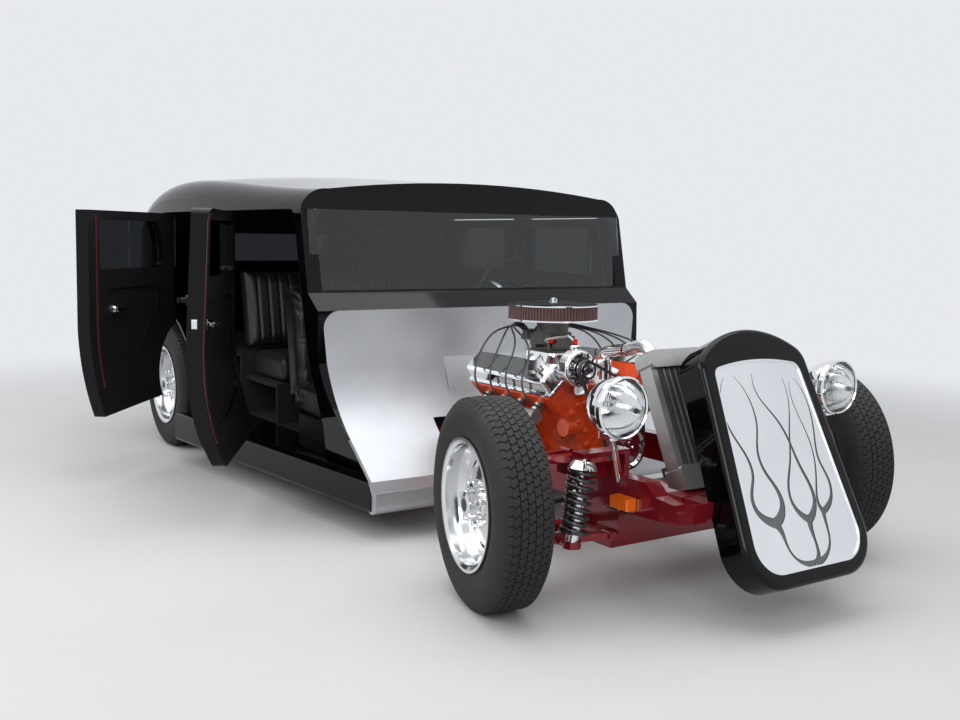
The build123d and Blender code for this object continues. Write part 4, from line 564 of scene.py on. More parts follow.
def repeated(tree, piece_mesh, finish, **values):
    """Run a tree on a small mesh and return the plain mesh that it makes."""
    piece = shown("small piece", piece_mesh)
    holder = shown("holder", bpy.data.meshes.new("holder"))
    modifier = holder.modifiers.new("repeat", "NODES")
    modifier.node_group = tree
    settings = {"Piece": piece, "Finish": finish, **values}
    for item in tree.interface.items_tree:
        if item.in_out == "INPUT" and item.name in settings:
            value = settings[item.name]
            modifier[item.identifier] = float(value) if item.socket_type == "NodeSocketFloat" else value
    bpy.context.view_layer.update()
    mesh = applied(holder)
    for item in (holder, piece):
        bpy.data.objects.remove(item)
    return mesh


def gathered(meshes, matrix=Matrix.Identity(4)):
    """Several meshes as one, moved by a matrix."""
    shape = bmesh.new()
    for mesh in meshes:
        shape.from_mesh(mesh)
    whole = plain(shape, "gathered")
    whole.transform(matrix)
    return whole


def copies_at(mesh, matrices):
    """Copies of a mesh at several places, as one."""
    return gathered([gathered([mesh], matrix) for matrix in matrices])


print("trees:", [tree.name for tree in bpy.data.node_groups if tree.bl_idname == "GeometryNodeTree"])

# %% [markdown]
# ## Turned shapes and small prisms
# A lathe makes anything round from half of its outline. A prism makes anything that has one
# outline and a height, with a small slope round its top so that its edge catches the light.

# %% Lathe and prism


def faces_between(shape, rings, count):
    """Faces from each ring of corners to the next one, the first count sides of the ring."""
    for lower, upper in zip(rings, rings[1:]):
        for index in range(count):
            after = (index + 1) % len(lower)
            shape.faces.new((lower[index], lower[after], upper[after], upper[index]))


def turned(profile, steps=48, closed=False):
    """Mesh of (along, radius) points turned about local X; a closed profile makes a ring."""
    shape = bmesh.new()
    rings = []
    for step in range(steps):
        angle = 2 * pi * step / steps
        rings.append([shape.verts.new((a, r * sin(angle), r * cos(angle))) for a, r in profile])
    faces_between(shape, rings + rings[:1], len(profile) if closed else len(profile) - 1)
    bmesh.ops.remove_doubles(shape, verts=shape.verts, dist=1e-6)
    bmesh.ops.dissolve_degenerate(shape, edges=shape.edges, dist=1e-7)
    bmesh.ops.recalc_face_normals(shape, faces=shape.faces)
    return plain(shape, "turned")


def tube(rings):
    """Closed mesh through rings of corners, with a face on each end."""
    shape = bmesh.new()
    rings = [[shape.verts.new(corner) for corner in ring] for ring in rings]
    faces_between(shape, rings, len(rings[0]))
    shape.faces.new(rings[0][::-1])
    shape.faces.new(rings[-1])
    bmesh.ops.recalc_face_normals(shape, faces=shape.faces)
    return plain(shape, "tube")


def prism(outline, height, slope=0.0, base=0.0):
    """Closed outline of (x, y) points raised along Z, its top drawn in by a slope."""
    levels = [[(x, y, z) for x, y in outline] for z in (base, base + height - slope)]
    if slope:
        middle = Vector((sum(x for x, _ in outline), sum(y for _, y in outline))) / len(outline)
        offsets = [Vector(corner) - middle for corner in outline]
        levels.append([(*(middle + offset * (1 - slope / max(offset.length, slope * 2))), base + height)
                       for offset in offsets])
    return tube(levels)


def round_outline(radius, corners):
    """Corners of a regular outline, such as a hexagon."""
    turns = [2 * pi * n / corners for n in range(corners)]
    return [(radius * cos(turn), radius * sin(turn)) for turn in turns]


def box_outline(half_x, half_y):
    """Corners of a rectangle about the middle."""
    return [(-half_x, -half_y), (half_x, -half_y), (half_x, half_y), (-half_x, half_y)]


def bolt_mesh(size):
    """Hexagon bolt head on its washer, standing along Z."""
    return gathered([prism(round_outline(size * 1.15, 16), size * 0.22, size * 0.05),
                     prism(round_outline(size * 0.92, 6), size * 0.95, size * 0.16)])


print("a bolt head has", len(bolt_mesh(0.008).polygons), "faces")

# %% [markdown]
# ## Tyres
# A tyre is a turned carcass with hundreds of rubber blocks on it. This tread has five rows of small
# blocks with an S in their edges, each row a little turned against the next, and a bolder block on
# each shoulder. The blocks stand on a carcass that is a little smaller than the CAD tyre, so the
# whole stays inside it.

# %% Tyre carcass and tread
TYRE, SECTION, TREAD, BEAD = 0.3375, 0.090, 0.075, 0.2053
TREAD_DEPTH, BLOCK_WIDTH, BLOCK_SLOPE = 0.0075, 0.0212, 0.0012
ROWS, BLOCKS = (-0.046, -0.023, 0.0, 0.023, 0.046), 74
Y_TO_Z = Matrix(((1, 0, 0, 0), (0, 0, -1, 0), (0, 1, 0, 0), (0, 0, 0, 1)))


def arc(start, middle, end, count):
    """Points along the circle through three points."""
    (ax, ay), (bx, by), (cx, cy) = start, middle, end
    aa, bb, cc = ax**2 + ay**2, bx**2 + by**2, cx**2 + cy**2
    d = 2 * (ax * (by - cy) + bx * (cy - ay) + cx * (ay - by))
    ux = (aa * (by - cy) + bb * (cy - ay) + cc * (ay - by)) / d
    uy = (aa * (cx - bx) + bb * (ax - cx) + cc * (bx - ax)) / d
    first, mid, last = (atan2(y - uy, x - ux) for x, y in (start, middle, end))
    sweep = (last - first) % (2 * pi)
    if (mid - first) % (2 * pi) > sweep:
        sweep -= 2 * pi
    radius = sqrt((ax - ux) ** 2 + (ay - uy) ** 2)
    turns = [first + sweep * n / count for n in range(count + 1)]
    return [(ux + radius * cos(turn), uy + radius * sin(turn)) for turn in turns]


def tyre_carcass():
    """Sidewalls with a rim guard and a raised ring, and the floor of the tread."""
    wall = arc((0.074, BEAD), (SECTION - 0.0005, TYRE - 0.068), (TREAD + 0.004, TYRE - 0.022), 14)
    half = [(0.060, BEAD), (0.074, BEAD)]
    for a, r in wall[1:]:
        lift = 0.0012 if 0.292 < r < 0.300 or r < 0.222 else 0.0
        half.append((min(a + lift, SECTION), r))
    half += [(TREAD - 0.002, TYRE - 0.014), (TREAD * 0.80, TYRE - TREAD_DEPTH - 0.001),
             (0.02, TYRE - TREAD_DEPTH)]
    return turned(half + [(-a, r) for a, r in reversed(half)], steps=96, closed=True)


def tread_block(across, along, depth):
    """Small block with an S-shaped leading and trailing edge; local X runs across the tread."""
    w, l, bend = across / 2, along / 2, along * 0.20
    edge = [(-w, l), (-w * 0.45, l - bend), (-w * 0.1, l), (w * 0.25, l + bend * 0.8), (w, l)]
    outline = edge + [(x, y - 2 * l + 0.0001) for x, y in reversed(edge)]
    return prism(outline, depth, BLOCK_SLOPE, base=-depth)


def shoulder_block(length):
    """Bold block that wraps the shoulder, its outline in the plane of the axle."""
    steps = [(0.0570, 0.0026), (0.0645, 0.0032), (0.0715, 0.0115), (0.0785, 0.0200), (0.0765, 0.0245),
             (0.0570, 0.0115)]
    mesh = prism([(x, TYRE - drop) for x, drop in steps], length, BLOCK_SLOPE, base=-length / 2)
    mesh.transform(Y_TO_Z)
    return mesh


pitch = 2 * pi * TYRE / BLOCKS
meshes = [tyre_carcass()]
for row, across in enumerate(ROWS):
    crown = TYRE - 0.0003 - 0.003 * (across / 0.065) ** 2
    block = tread_block(BLOCK_WIDTH, pitch * 0.86, TREAD_DEPTH)
    meshes.append(repeated(ring_tree, block, tyre_black, Count=BLOCKS, Radius=crown, Along=across,
                           Start=row * 1.3 * pi / BLOCKS))
for side, _ in SIDES:
    block = shoulder_block(pitch * 0.84)
    block.transform(Matrix.Diagonal((side, 1, 1, 1)))
    if side < 0:
        block.flip_normals()
    meshes.append(repeated(ring_tree, block, tyre_black, Count=BLOCKS, Radius=0.0, Start=side * pi / BLOCKS))
tyre_shape = gathered(meshes)
for corner, hub_place in wheel_places.items():
    mesh = tyre_shape.copy()
    mesh.transform(hub_place)
    piece = finished("tyre_" + corner + "_tread", mesh, tyre_black, "wheel_" + corner, angle=28)
    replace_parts(piece, "tyre_" + corner)
print("one tyre has", len(tyre_shape.polygons), "faces")

# %% [markdown]
# ## Wheel nuts and valves
# Five chrome nuts hold each wheel, in a ring round the hub, and a short rubber valve stands in the
# rim. They are added to the turned CAD wheel, which keeps its own shape.

# %% Wheel nuts, hub caps and valves
NUT_CIRCLE, NUT_SEAT = 0.064, 0.0555
VALVE_PLACE = Matrix.Translation((0.026, 0.1795, 0.020))
TO_AXLE = Matrix.Rotation(pi / 2, 4, "Y")
nut = gathered([prism(round_outline(0.0105, 6), 0.020, 0.0030),
                prism(round_outline(0.0135, 18), 0.004, 0.001)])
nut.transform(TO_AXLE)
nuts = repeated(ring_tree, nut, chrome, Count=5, Radius=NUT_CIRCLE, Along=NUT_SEAT)
cap_shape = turned([(0.085, 0.0), (0.085, 0.0225), (0.087, 0.020), (0.089, 0.012), (0.0895, 0.0)], 40)
valve_shape = turned([(-0.001, 0.0), (0.024, 0.0), (0.024, 0.0035), (0.012, 0.0040), (0.010, 0.0055),
                      (-0.001, 0.0065)], 16)
for corner, hub_place in wheel_places.items():
    body = "wheel_" + corner
    finished("nuts_" + corner, gathered([nuts], hub_place), chrome, body)
    finished("hub_cap_" + corner, gathered([cap_shape], hub_place), satin_black, body)
    finished("valve_" + corner, gathered([valve_shape], hub_place @ VALVE_PLACE), hose_black, body)
print("nuts, caps and valves on", len(wheel_places), "wheels")

# %% [markdown]
# ## The flamed grille
# The grille is a brushed alloy plate with traditional flame licks let into it and a bright bead
# round its edge. The CAD plate already has the licks as shallow pockets. Their floors get the
# darker brushed grey, and an inset round each floor makes the thin black line that edges a flame.

# %% Grille insert
GRILLE_TOP = Vector((0.371, 0, above_floor(0.762)))
GRILLE_LEAN = radians(25.1)
GRILLE_FACING = Vector((cos(GRILLE_LEAN), 0, sin(GRILLE_LEAN)))
BEAD_BACK, FLAME_FLOOR, LINE_WIDTH = -0.0056, -0.0075, 0.0013


def grille_finish(middle, normal):
    """0 plate, 1 flame, 2 black line, 3 bead."""
    depth = (middle - GRILLE_TOP).dot(GRILLE_FACING)
    if depth > BEAD_BACK:
        return 3
    if normal.dot(GRILLE_FACING) > 0.8:
        return 1 if abs(depth - FLAME_FLOOR) < 0.0004 else 0
    return 2 if -0.0078 < depth < -0.0058 else 0


recast("grille_insert", [grille_silver, flame_grey, pinstripe, chrome], grille_finish,
       line=(1, 2, LINE_WIDTH))
print("grille plate, flames and bead")

# %% [markdown]
# ## Engine top
# The engine is a show engine: orange castings, chrome covers, a pleated filter between two plates.
# The pleats are one small ridge that the ring tree sets round the filter. Flange bolts come from
# the row tree, once for each edge of each cover.

# %% Filter pleats and cover bolts
ALONG_AXLE = Matrix(((0, 0, 1, 0), (1, 0, 0, 0), (0, 1, 0, 0), (0, 0, 0, 1)))
PLEATS, PLEAT_RADIUS, PAPER_LOW, PAPER_TOP = 86, 0.1722, FILTER_Z + 0.010, FILTER_Z + 0.062
FLANGE, FLANGE_HALF = 0.341, 0.0618


def filter_finish(middle, normal):
    """0 chrome plates, 1 pleated paper."""
    reach = (middle.xy - Vector((FILTER_X, 0))).length
    return 1 if PAPER_LOW < middle.z < PAPER_TOP and reach > 0.16 and abs(normal.z) < 0.5 else 0


recast("air_cleaner", [chrome, filter_paper], filter_finish)
pleat = prism([(-0.0058, -0.006), (0.0058, -0.006), (0.0026, 0.0072), (-0.0026, 0.0072)], 0.0515)
pleat.transform(ALONG_AXLE)
pleats = repeated(ring_tree, pleat, filter_paper, Count=PLEATS, Radius=PLEAT_RADIUS, Along=0.0)
upright = axes_at((FILTER_X, 0, FILTER_Z + 0.0102), UP, AHEAD)
finished("filter_pleats", gathered([pleats], upright), filter_paper)

cover_bolts = []
for side, _ in SIDES:
    tilted = Vector((0, side * sin(pi / 4), cos(pi / 4)))
    bank = axes_at(Vector((ENGINE_X, 0, CRANK)) + tilted * FLANGE, AHEAD, tilted)
    for edge in (1, -1):
        row = repeated(row_tree, bolt_mesh(0.0045), chrome, Count=5, Start=(-0.24, edge * FLANGE_HALF, 0.0),
                       Step=(0.12, 0, 0))
        cover_bolts.append(gathered([row], bank))
finished("cover_bolts", gathered(cover_bolts), chrome)
print(len(pleats.polygons), "faces of pleats")

# %% [markdown]
# ## Ignition and belt drive
# These CAD pieces have two or three finishes each. Their copies know the cap, the boots, the belt
# and the pulleys by where they lie.

# %% Ignition, alternator and belt drive
DISTRIBUTOR, CAP_FOOT, CAP_TOP = Vector((-0.862, 0)), above_floor(0.7515), above_floor(0.7925)
SLOTS_X = -0.286
BELT_BACK, BELT_FRONT, PUMP_FRONT, PULLEY_FRONT = -0.2563, -0.2417, -0.2635, -0.2362
# For each pulley: y, height above the floor, radius
PULLEYS = [(0.0, 0.400, 0.085), (0.0, 0.560, 0.072), (-0.200, 0.700, 0.034)]


def ignition_finish(middle, normal):
    """-1 leaves out the plain leads, 0 cap, 1 steel body, 2 boots."""
    if (middle.xy - DISTRIBUTOR).length < 0.046 and middle.z < CAP_TOP:
        return 0 if middle.z > CAP_FOOT else 1
    face = Vector((0, abs(middle.y), middle.z - CRANK))
    along, off = (face.y + face.z) / sqrt(2), (face.y - face.z) / sqrt(2)
    return 2 if 0.292 < along < 0.3105 and 0.070 < off < 0.0925 else -1


def alternator_finish(middle, normal):
    """0 polished case, 1 satin black on the slot floors, painted shade for the dark inside the slots."""
    # The slot floors get black as painted shade for the dark inside of the case.
    return 1 if abs(middle.x - SLOTS_X) < 0.0008 and normal.x > 0.8 else 0


def drive_finish(middle, normal):
    """0 chrome pulleys, 1 belt, 2 orange pump housing."""
    if BELT_BACK < middle.x < BELT_FRONT:
        if all(Vector((middle.y - y, middle.z - above_floor(h))).length > r - 0.0055 for y, h, r in PULLEYS):
            return 1
    return 2 if middle.x < PUMP_FRONT else 0


recast("ignition", [satin_black, cast_alloy, hose_black], ignition_finish)
# The alternator's slot floors are painted black as shade.
recast("alternator", [polished, satin_black], alternator_finish)
recast("accessory_drive", [chrome, hose_black, engine_orange], drive_finish)
pulley_bolt = bolt_mesh(0.0055)
pulley_bolt.transform(TO_AXLE)
ring = repeated(ring_tree, pulley_bolt, chrome, Count=4, Radius=0.018, Along=0.0)
fronts = [axes_at((PULLEY_FRONT, y, above_floor(height)), AHEAD) for y, height, _ in PULLEYS[:2]]
finished("pulley_bolts", copies_at(ring, fronts), chrome)
print("ignition, alternator and belt drive have their finishes")

# %% [markdown]
# ## Tubes along a path
# A third tree sweeps a tube along a curve and sets a rib on each of its points, turned to follow
# the curve. Without a rib it makes a smooth lead.

# %% Ribs along a path


def swept(tree, curve, sides, radius, **values):
    """Round tube along a curve."""
    rim = place(tree, "GeometryNodeCurvePrimitiveCircle", Resolution=sides, Radius=radius).outputs["Curve"]
    return place(tree, "GeometryNodeCurveToMesh", Curve=curve, Profile_Curve=rim, **values).outputs["Mesh"]


path_tree, taken, given = new_tree("ribs along a path", {
    **COMMON, "Path": "Object", "Radius": 0.02, "Sides": 20})
source = place(path_tree, "GeometryNodeObjectInfo", Object=taken["Path"]).outputs["Geometry"]
even = place(path_tree, "GeometryNodeResampleCurve", Curve=source, Count=taken["Count"]).outputs["Curve"]
heading = path_tree.nodes.new("GeometryNodeInputTangent").outputs["Tangent"]
facing = place(path_tree, "FunctionNodeAlignRotationToVector", axis="X", Vector=heading).outputs["Rotation"]
both = place(path_tree, "GeometryNodeJoinGeometry", copies_on(path_tree, taken, even, facing))
fill(both, swept(path_tree, even, taken["Sides"], taken["Radius"]))
made_real(path_tree, taken, given, both.outputs["Geometry"])


def ribbed(points, radius, rib, count, finish):
    """Mesh of a tube, with ribs or plain, along a smooth curve of (x, y, height) control points."""
    curve = bpy.data.curves.new("path", "CURVE")
    curve.dimensions = "3D"
    spline = curve.splines.new("NURBS")
    spline.points.add(len(points) - 1)
    for point, (x, y, height) in zip(spline.points, points):
        point.co = (x, y, above_floor(height), 1)
    spline.order_u = 3
    spline.use_endpoint_u = True
    spline.resolution_u = 12
    path = shown("path", curve)
    ring = bpy.data.meshes.new("no rib")
    if rib:
        hump = [(rib * 0.9 * cos(a), radius + rib * 0.55 * sin(a)) for a in (0.0, pi / 3, 2 * pi / 3, pi)]
        ring = turned(hump + [(0.0, radius - rib * 0.6)], steps=20, closed=True)
    mesh = repeated(path_tree, ring, finish, Count=count, Path=path, Radius=radius, Sides=20 if rib else 10)
    bpy.data.objects.remove(path)
    return mesh


print("third tree:", path_tree.name)

# %% [markdown]
# ## Spark plug leads
# Each lead rises from a tower of the distributor cap, runs out over the valve cover and drops to
# its boot. The two sides mirror each other.

# %% Eight leads and their boots
LEAD_RADIUS, LEAD_POINTS = 0.0039, 90
leads, boot_places = [], []
for number, station in enumerate((-0.165, -0.055, 0.055, 0.165)):
    tower_x, boot_x, shelf = -0.880 + 0.012 * number, ENGINE_X + station + 0.030, 0.806 + 0.005 * number
    route = [(tower_x, 0.024, 0.780), (tower_x, 0.040, shelf),
             (tower_x + 0.004, 0.098 + 0.012 * number, shelf + 0.004),
             (boot_x - 0.042, 0.262 + 0.004 * number, 0.786 - 0.007 * number),
             (boot_x - 0.014 - 0.006 * number, 0.350, 0.640),
             (boot_x + 0.002, 0.318, 0.558), (boot_x, 0.2786, 0.5485)]
    for side, _ in SIDES:
        lead = [(x, side * y, height) for x, y, height in route]
        leads.append(ribbed(lead, LEAD_RADIUS, 0.0, LEAD_POINTS, lead_rubber))
        boot_places.append(axes_at((boot_x, side * 0.2720, above_floor(0.5550)), (0, side, -1), AHEAD))
boot = turned([(-0.012, 0.0), (-0.012, 0.0085), (0.006, 0.0085), (0.016, 0.0055), (0.016, 0.0)], 20)
finished("plug_leads", gathered(leads), lead_rubber, angle=70)
finished("plug_boots", copies_at(boot, boot_places), hose_black)
print("eight leads,", sum(len(lead.polygons) for lead in leads), "faces")

# %% [markdown]
# ## Hoses and the fuel line
# The top hose is a corrugated chrome sleeve between a polished outlet and the radiator. The steel
# fuel line has finer ribs, so it reads as braid.

# %% Hoses and the fuel line
BOTTOM_HOSE_TOP, OUTLET_FRONT = above_floor(0.690), -0.222


def hose_finish(middle, normal):
    """-1 leaves out the plain top hose, 0 polished outlet, 1 black bottom hose."""
    if middle.z < BOTTOM_HOSE_TOP:
        return 1
    return -1 if middle.x > OUTLET_FRONT else 0


recast("radiator_hoses", [polished, hose_black], hose_finish)
top_hose = ribbed([(-0.232, -0.022, 0.769), (-0.160, -0.046, 0.786), (-0.070, -0.086, 0.800),
                   (0.010, -0.128, 0.782), (0.054, -0.152, 0.748)], 0.0205, 0.0052, 58, chrome)
finished("top_hose", top_hose, chrome, angle=60)
clamp = turned([(-0.009, 0.0225), (-0.009, 0.0255), (0.009, 0.0255), (0.009, 0.0225)], 40, closed=True)
clamp_places = [axes_at((-0.226, -0.0205, above_floor(0.7685)), (0.97, -0.22, 0.14)),
                axes_at((0.046, -0.147, above_floor(0.754)), (0.80, -0.42, -0.42))]
finished("hose_clamps", copies_at(clamp, clamp_places), polished)

START_X, START_Y, END_X, END_HEIGHT = -0.318, -0.200, -0.644, 0.762
fuel_line = ribbed([(START_X, START_Y, 0.792), (-0.360, -0.196, 0.815), (-0.440, -0.150, 0.800),
                    (-0.540, -0.100, 0.790), (-0.640, -0.110, 0.770), (END_X, -0.078, END_HEIGHT)],
                   0.0042, 0.0012, 190, pipe_steel)
finished("fuel_line", fuel_line, pipe_steel, angle=70)
fitting = gathered([prism(round_outline(0.0105, 6), 0.016, 0.002),
                    prism(round_outline(0.0080, 20), 0.026, 0.001)])
regulator = turned([(0.0, 0.0), (0.0, 0.017), (0.006, 0.019), (0.016, 0.019), (0.020, 0.014), (0.020, 0.0)])
regulator_place = axes_at((START_X, START_Y, above_floor(0.7635)), UP, AHEAD)
finished("fuel_regulator", gathered([regulator], regulator_place), chrome)
fitting_places = [Matrix.Translation((START_X, START_Y, above_floor(0.780))),
                  axes_at((END_X, -0.050, above_floor(END_HEIGHT)), AHEAD, (0, -1, 0))]
finished("fuel_fittings", copies_at(fitting, fitting_places), fitting_red)
print("top hose has", len(top_hose.polygons), "faces, the fuel line", len(fuel_line.polygons))

# %% [markdown]
# ## Radiator core
# Between the tubes of a radiator lie thin fins, a few millimetres apart. A row of long fins stands
# for them, in the tilted plane of the radiator.

# %% Radiator fins
RADIATOR = axes_at((0.180, 0, above_floor(0.590)), (0, 1, 0), (0.9056, 0, 0.4242))
TO_RADIATOR = RADIATOR.inverted()
CORE_HALF, CORE_HALF_HEIGHT = 0.2332, 0.1702
FINS, FIN_STEP = 92, 0.00366


def radiator_finish(middle, normal):
    """0 alloy tanks, 1 dark core and tubes."""
    local = TO_RADIATOR @ middle
    in_core = abs(local.x) < CORE_HALF and abs(local.y) < CORE_HALF_HEIGHT
    return 1 if in_core and abs((TO_RADIATOR.to_3x3() @ normal).z) < 0.7 else 0


recast("radiator", [cast_alloy, core_black], radiator_finish)
fin = prism(box_outline(0.2335, 0.0005), 0.050, base=-0.025)
fins = repeated(row_tree, fin, fin_grey, Count=FINS, Start=(0, -0.1665, 0), Step=(0, FIN_STEP, 0))
finished("radiator_fins", gathered([fins], RADIATOR), fin_grey)
print(FINS, "fins, local up of the radiator is", [round(v, 3) for v in RADIATOR.col[1][:3]])

# %% [markdown]
# ## Headlamps
# Each lamp is a chrome bowl with a bright reflector, a shielded bulb and a fluted glass. The flutes
# are only a bump across the lens, because real flutes are too shallow to change its outline.

# %% Lamps
LAMP = (0.294, 0.498, above_floor(0.661))
BOWL_DEPTH, BOWL_RADIUS, FLUTES = 0.1365, 0.0855, 900.0


def lamp_finish(middle, normal):
    """0 chrome bowl and stalk, 1 reflector inside."""
    offset = Vector((0, middle.y - (LAMP[1] if middle.y > 0 else -LAMP[1]), middle.z - LAMP[2]))
    inward = offset.dot(normal) < 0 or normal.x > 0.75
    in_bowl = -BOWL_DEPTH < middle.x - LAMP[0] < 0.0004 and offset.length < BOWL_RADIUS
    return 1 if in_bowl and inward else 0


fluted = clear("fluted glass", (0.96, 0.97, 0.97))
tree = fluted.node_tree
across = place(tree, "ShaderNodeSeparateXYZ", object_position(tree)).outputs["Y"]
flutes = calc(tree, "SINE", calc(tree, "MULTIPLY", across, FLUTES))
bump(tree.nodes["Principled BSDF"], flutes, 0.30, 0.0004)

recast("headlamps", [chrome, reflector], lamp_finish)
bulb = turned([(-0.134, 0.0), (-0.134, 0.013), (-0.070, 0.010), (-0.062, 0.014), (-0.040, 0.014),
               (-0.030, 0.009), (-0.027, 0.0)], 32)
bulb_places = [Matrix.Translation((LAMP[0], side * LAMP[1], LAMP[2])) for side, _ in SIDES]
finished("headlamp_bulbs", copies_at(bulb, bulb_places), chrome)
print("lamps have reflectors and bulbs")

# %% [markdown]
# ## Springs, tail lamps and steering wheel
# A spring is a spiral curve with a round wire swept along it, in a tree of its own. It stands on
# the damper's axis, and the plain spring of the CAD piece is left out of its copy.

# %% Coil-overs, tail lamps and steering wheel
WHEEL_RIM = Vector((-1.620, 0.400, above_floor(0.900)))
COLUMN = (WHEEL_RIM - Vector((-1.330, 0.400, above_floor(0.823)))).normalized()
RIM_INSIDE, BUTTON_RADIUS = 0.1565, 0.0425
SPRING_SEAT, PERCH, SPRING_FOOT, CAP_LENGTH, DAMPER_RADIUS = 0.0415, 0.0335, 0.0425, 0.0345, 0.0305


def damper(side):
    """Foot of a front damper, the direction it stands in and its length."""
    foot = Vector((0.122, side * 0.545, above_floor(0.207)))
    axis = Vector((0.122, side * 0.505, above_floor(0.478))) - foot
    return foot, axis.normalized(), axis.length


def along_and_off(point, foot, axis):
    """How far a point is along an axis from its foot, and how far off that axis."""
    along = (point - foot).dot(axis)
    return along, (point - foot - axis * along).length


def coil_finish(middle, normal):
    """0 chrome cap, 1 black perch, 2 polished damper, -1 leaves out the plain spring."""
    foot, axis, length = damper(1 if middle.y > 0 else -1)
    along, off = along_and_off(middle, foot, axis)
    if along > length - CAP_LENGTH:
        return 0
    if off > DAMPER_RADIUS and along > SPRING_FOOT:
        return -1
    return 1 if off > DAMPER_RADIUS and along > PERCH else 2


def tail_lamp_finish(middle, normal):
    """0 chrome bezel, 1 red dome."""
    offset = Vector((abs(middle.y) - 0.500, middle.z - above_floor(0.620)))
    return 1 if middle.x < -3.9125 and offset.length < 0.0455 else 0


def steering_finish(middle, normal):
    """0 chrome spokes and column, 1 black rim and horn button."""
    along, off = along_and_off(middle, WHEEL_RIM, COLUMN)
    return 1 if off > RIM_INSIDE or (off < BUTTON_RADIUS and along > -0.023) else 0


coil_tree, taken, given = new_tree("wound spring", {
    "Turns": 8.0, "Radius": 0.04, "Height": 0.2, "Wire": 0.006, "Finish": "Material"})
winding = place(coil_tree, "GeometryNodeCurveSpiral", Resolution=26, Rotations=taken["Turns"],
                Start_Radius=taken["Radius"], End_Radius=taken["Radius"], Height=taken["Height"])
wound = swept(coil_tree, winding.outputs["Curve"], 12, taken["Wire"], Fill_Caps=True)
made_real(coil_tree, taken, given, wound)

spring = repeated(coil_tree, bpy.data.meshes.new("nothing"), coil_black, Turns=8.5, Radius=0.040,
                  Height=0.197, Wire=0.0066)
spring_places = []
for side, _ in SIDES:
    foot, axis, _ = damper(side)
    lean = UP.rotation_difference(axis).to_matrix().to_4x4()
    spring_places.append(Matrix.Translation(foot + axis * SPRING_SEAT) @ lean)
finished("coil_springs", copies_at(spring, spring_places), coil_black, angle=70)
recast("front_coilovers", [chrome, coil_black, polished], coil_finish)
recast("tail_lamps", [chrome, red_lens], tail_lamp_finish)
recast("steering_wheel", [chrome, hide], steering_finish)
print("coil-overs, tail lamps and steering wheel have their finishes")

# %% [markdown]
# ## Doors
# The doors hang at the rear and swing forward edge out. Inside they are flat black vinyl, with a
# dark red welt down the free edge, a chrome lever at elbow height and a latch plate on the edge.
# The small pieces are laid on the door by casting rays at its inner face, in the pose of the photo.

# %% Door helpers
# For each kind of door: x of its free edge, angle it stands open at in the photo, foot of its welt
DOORS = {"front": (-1.200, 32.0, 0.345), "rear": (-2.210, 50.0, 0.440)}
EDGE_STEP, EDGE_STEPS = 0.002, 140


def door_turn(kind, side):
    """Matrix that swings a closed door to where it stands in the photo."""
    pin = Vector(joints[f"door_{kind}_{'left' if side > 0 else 'right'}_hinge"]["pos_m"])
    angle = 0.0 if side > 0 else -radians(DOORS[kind][1])
    return Matrix.Translation(pin) @ Matrix.Rotation(angle, 4, "Z") @ Matrix.Translation(-pin)


def inner_face(tree, swing, side, x, height):
    """Point on a door's inner face at x and a height, for the closed door, or None."""
    start, way = Vector((x, 0.2 * side, above_floor(height))), Vector((0, side, 0))
    hit = tree.ray_cast(swing @ start, swing.to_3x3() @ way)[0]
    return swing.inverted() @ hit if hit else None


def free_edge(tree, swing, side, free_x, height):
    """x of a closed door's free edge at a height, found by stepping back until a ray meets the door."""
    steps = (free_x - EDGE_STEP * step for step in range(EDGE_STEPS))
    return next((x for x in steps if inner_face(tree, swing, side, x, height)), None)


def strip(points, side, width, proud):
    """Half-round strip laid along points of a face that looks to the middle of the car."""
    front = [(width / 2 * cos(a), proud * sin(a)) for a in (pi * n / 6 for n in range(7))]
    section = front + [(-width / 2, -0.002), (width / 2, -0.002)]
    return tube([[(point.x + u, point.y - side * v, point.z) for u, v in section] for point in points])


def face_tree(node):
    """Search tree over a CAD piece's faces."""
    shape = bmesh.new()
    shape.from_mesh(nodes[node].data)
    tree = BVHTree.FromBMesh(shape)
    shape.free()
    return tree


print("door helpers are ready")

# %% Door welts, levers and latches
WELT_TOP, WELT_IN, WELT_WIDTH, WELT_PROUD = 1.245, 0.034, 0.024, 0.007
ELBOW, LEVER_IN, LATCH_IN = 0.800, 0.170, 0.030
escutcheon = turned([(-0.002, 0.0), (-0.002, 0.024), (0.003, 0.024), (0.007, 0.018), (0.016, 0.010),
                     (0.022, 0.010), (0.024, 0.0)], 32)
lever = prism([(-0.105, -0.007), (0.010, -0.010), (0.014, 0.0), (0.010, 0.010), (-0.105, 0.007),
               (-0.110, 0.0)], 0.009, 0.0025, base=0.020)
latch = prism(box_outline(0.011, 0.032), 0.004, 0.001)
for kind, (free_x, _, low) in DOORS.items():
    for side, side_name in SIDES:
        name, swing = f"{kind}_{side_name}", door_turn(kind, side)
        tree = face_tree("door_" + name)
        welt = []
        for height in (low + (WELT_TOP - low) * n / 30 for n in range(31)):
            edge_x = free_edge(tree, swing, side, free_x, height)
            point = inner_face(tree, swing, side, edge_x - WELT_IN, height) if edge_x else None
            if point is not None:
                welt.append(point)
        welt_mesh = gathered([strip(welt, side, WELT_WIDTH, WELT_PROUD)], swing)
        finished("welt_" + name, welt_mesh, piping_red, "door_" + name)
        edge_x = free_edge(tree, swing, side, free_x, ELBOW)
        spot = inner_face(tree, swing, side, edge_x - LEVER_IN, ELBOW)
        edge = inner_face(tree, swing, side, edge_x - LATCH_IN, ELBOW)
        latch_place = axes_at((edge_x - 0.0015, edge.y + side * 0.030, edge.z), (0, 1, 0), AHEAD)
        parts = [gathered([escutcheon], axes_at(spot, (0, -side, 0), UP)),
                 gathered([lever], axes_at(spot, AHEAD, (0, -side, 0))), gathered([latch], latch_place)]
        finished("lever_" + name, gathered(parts, swing), chrome, "door_" + name)
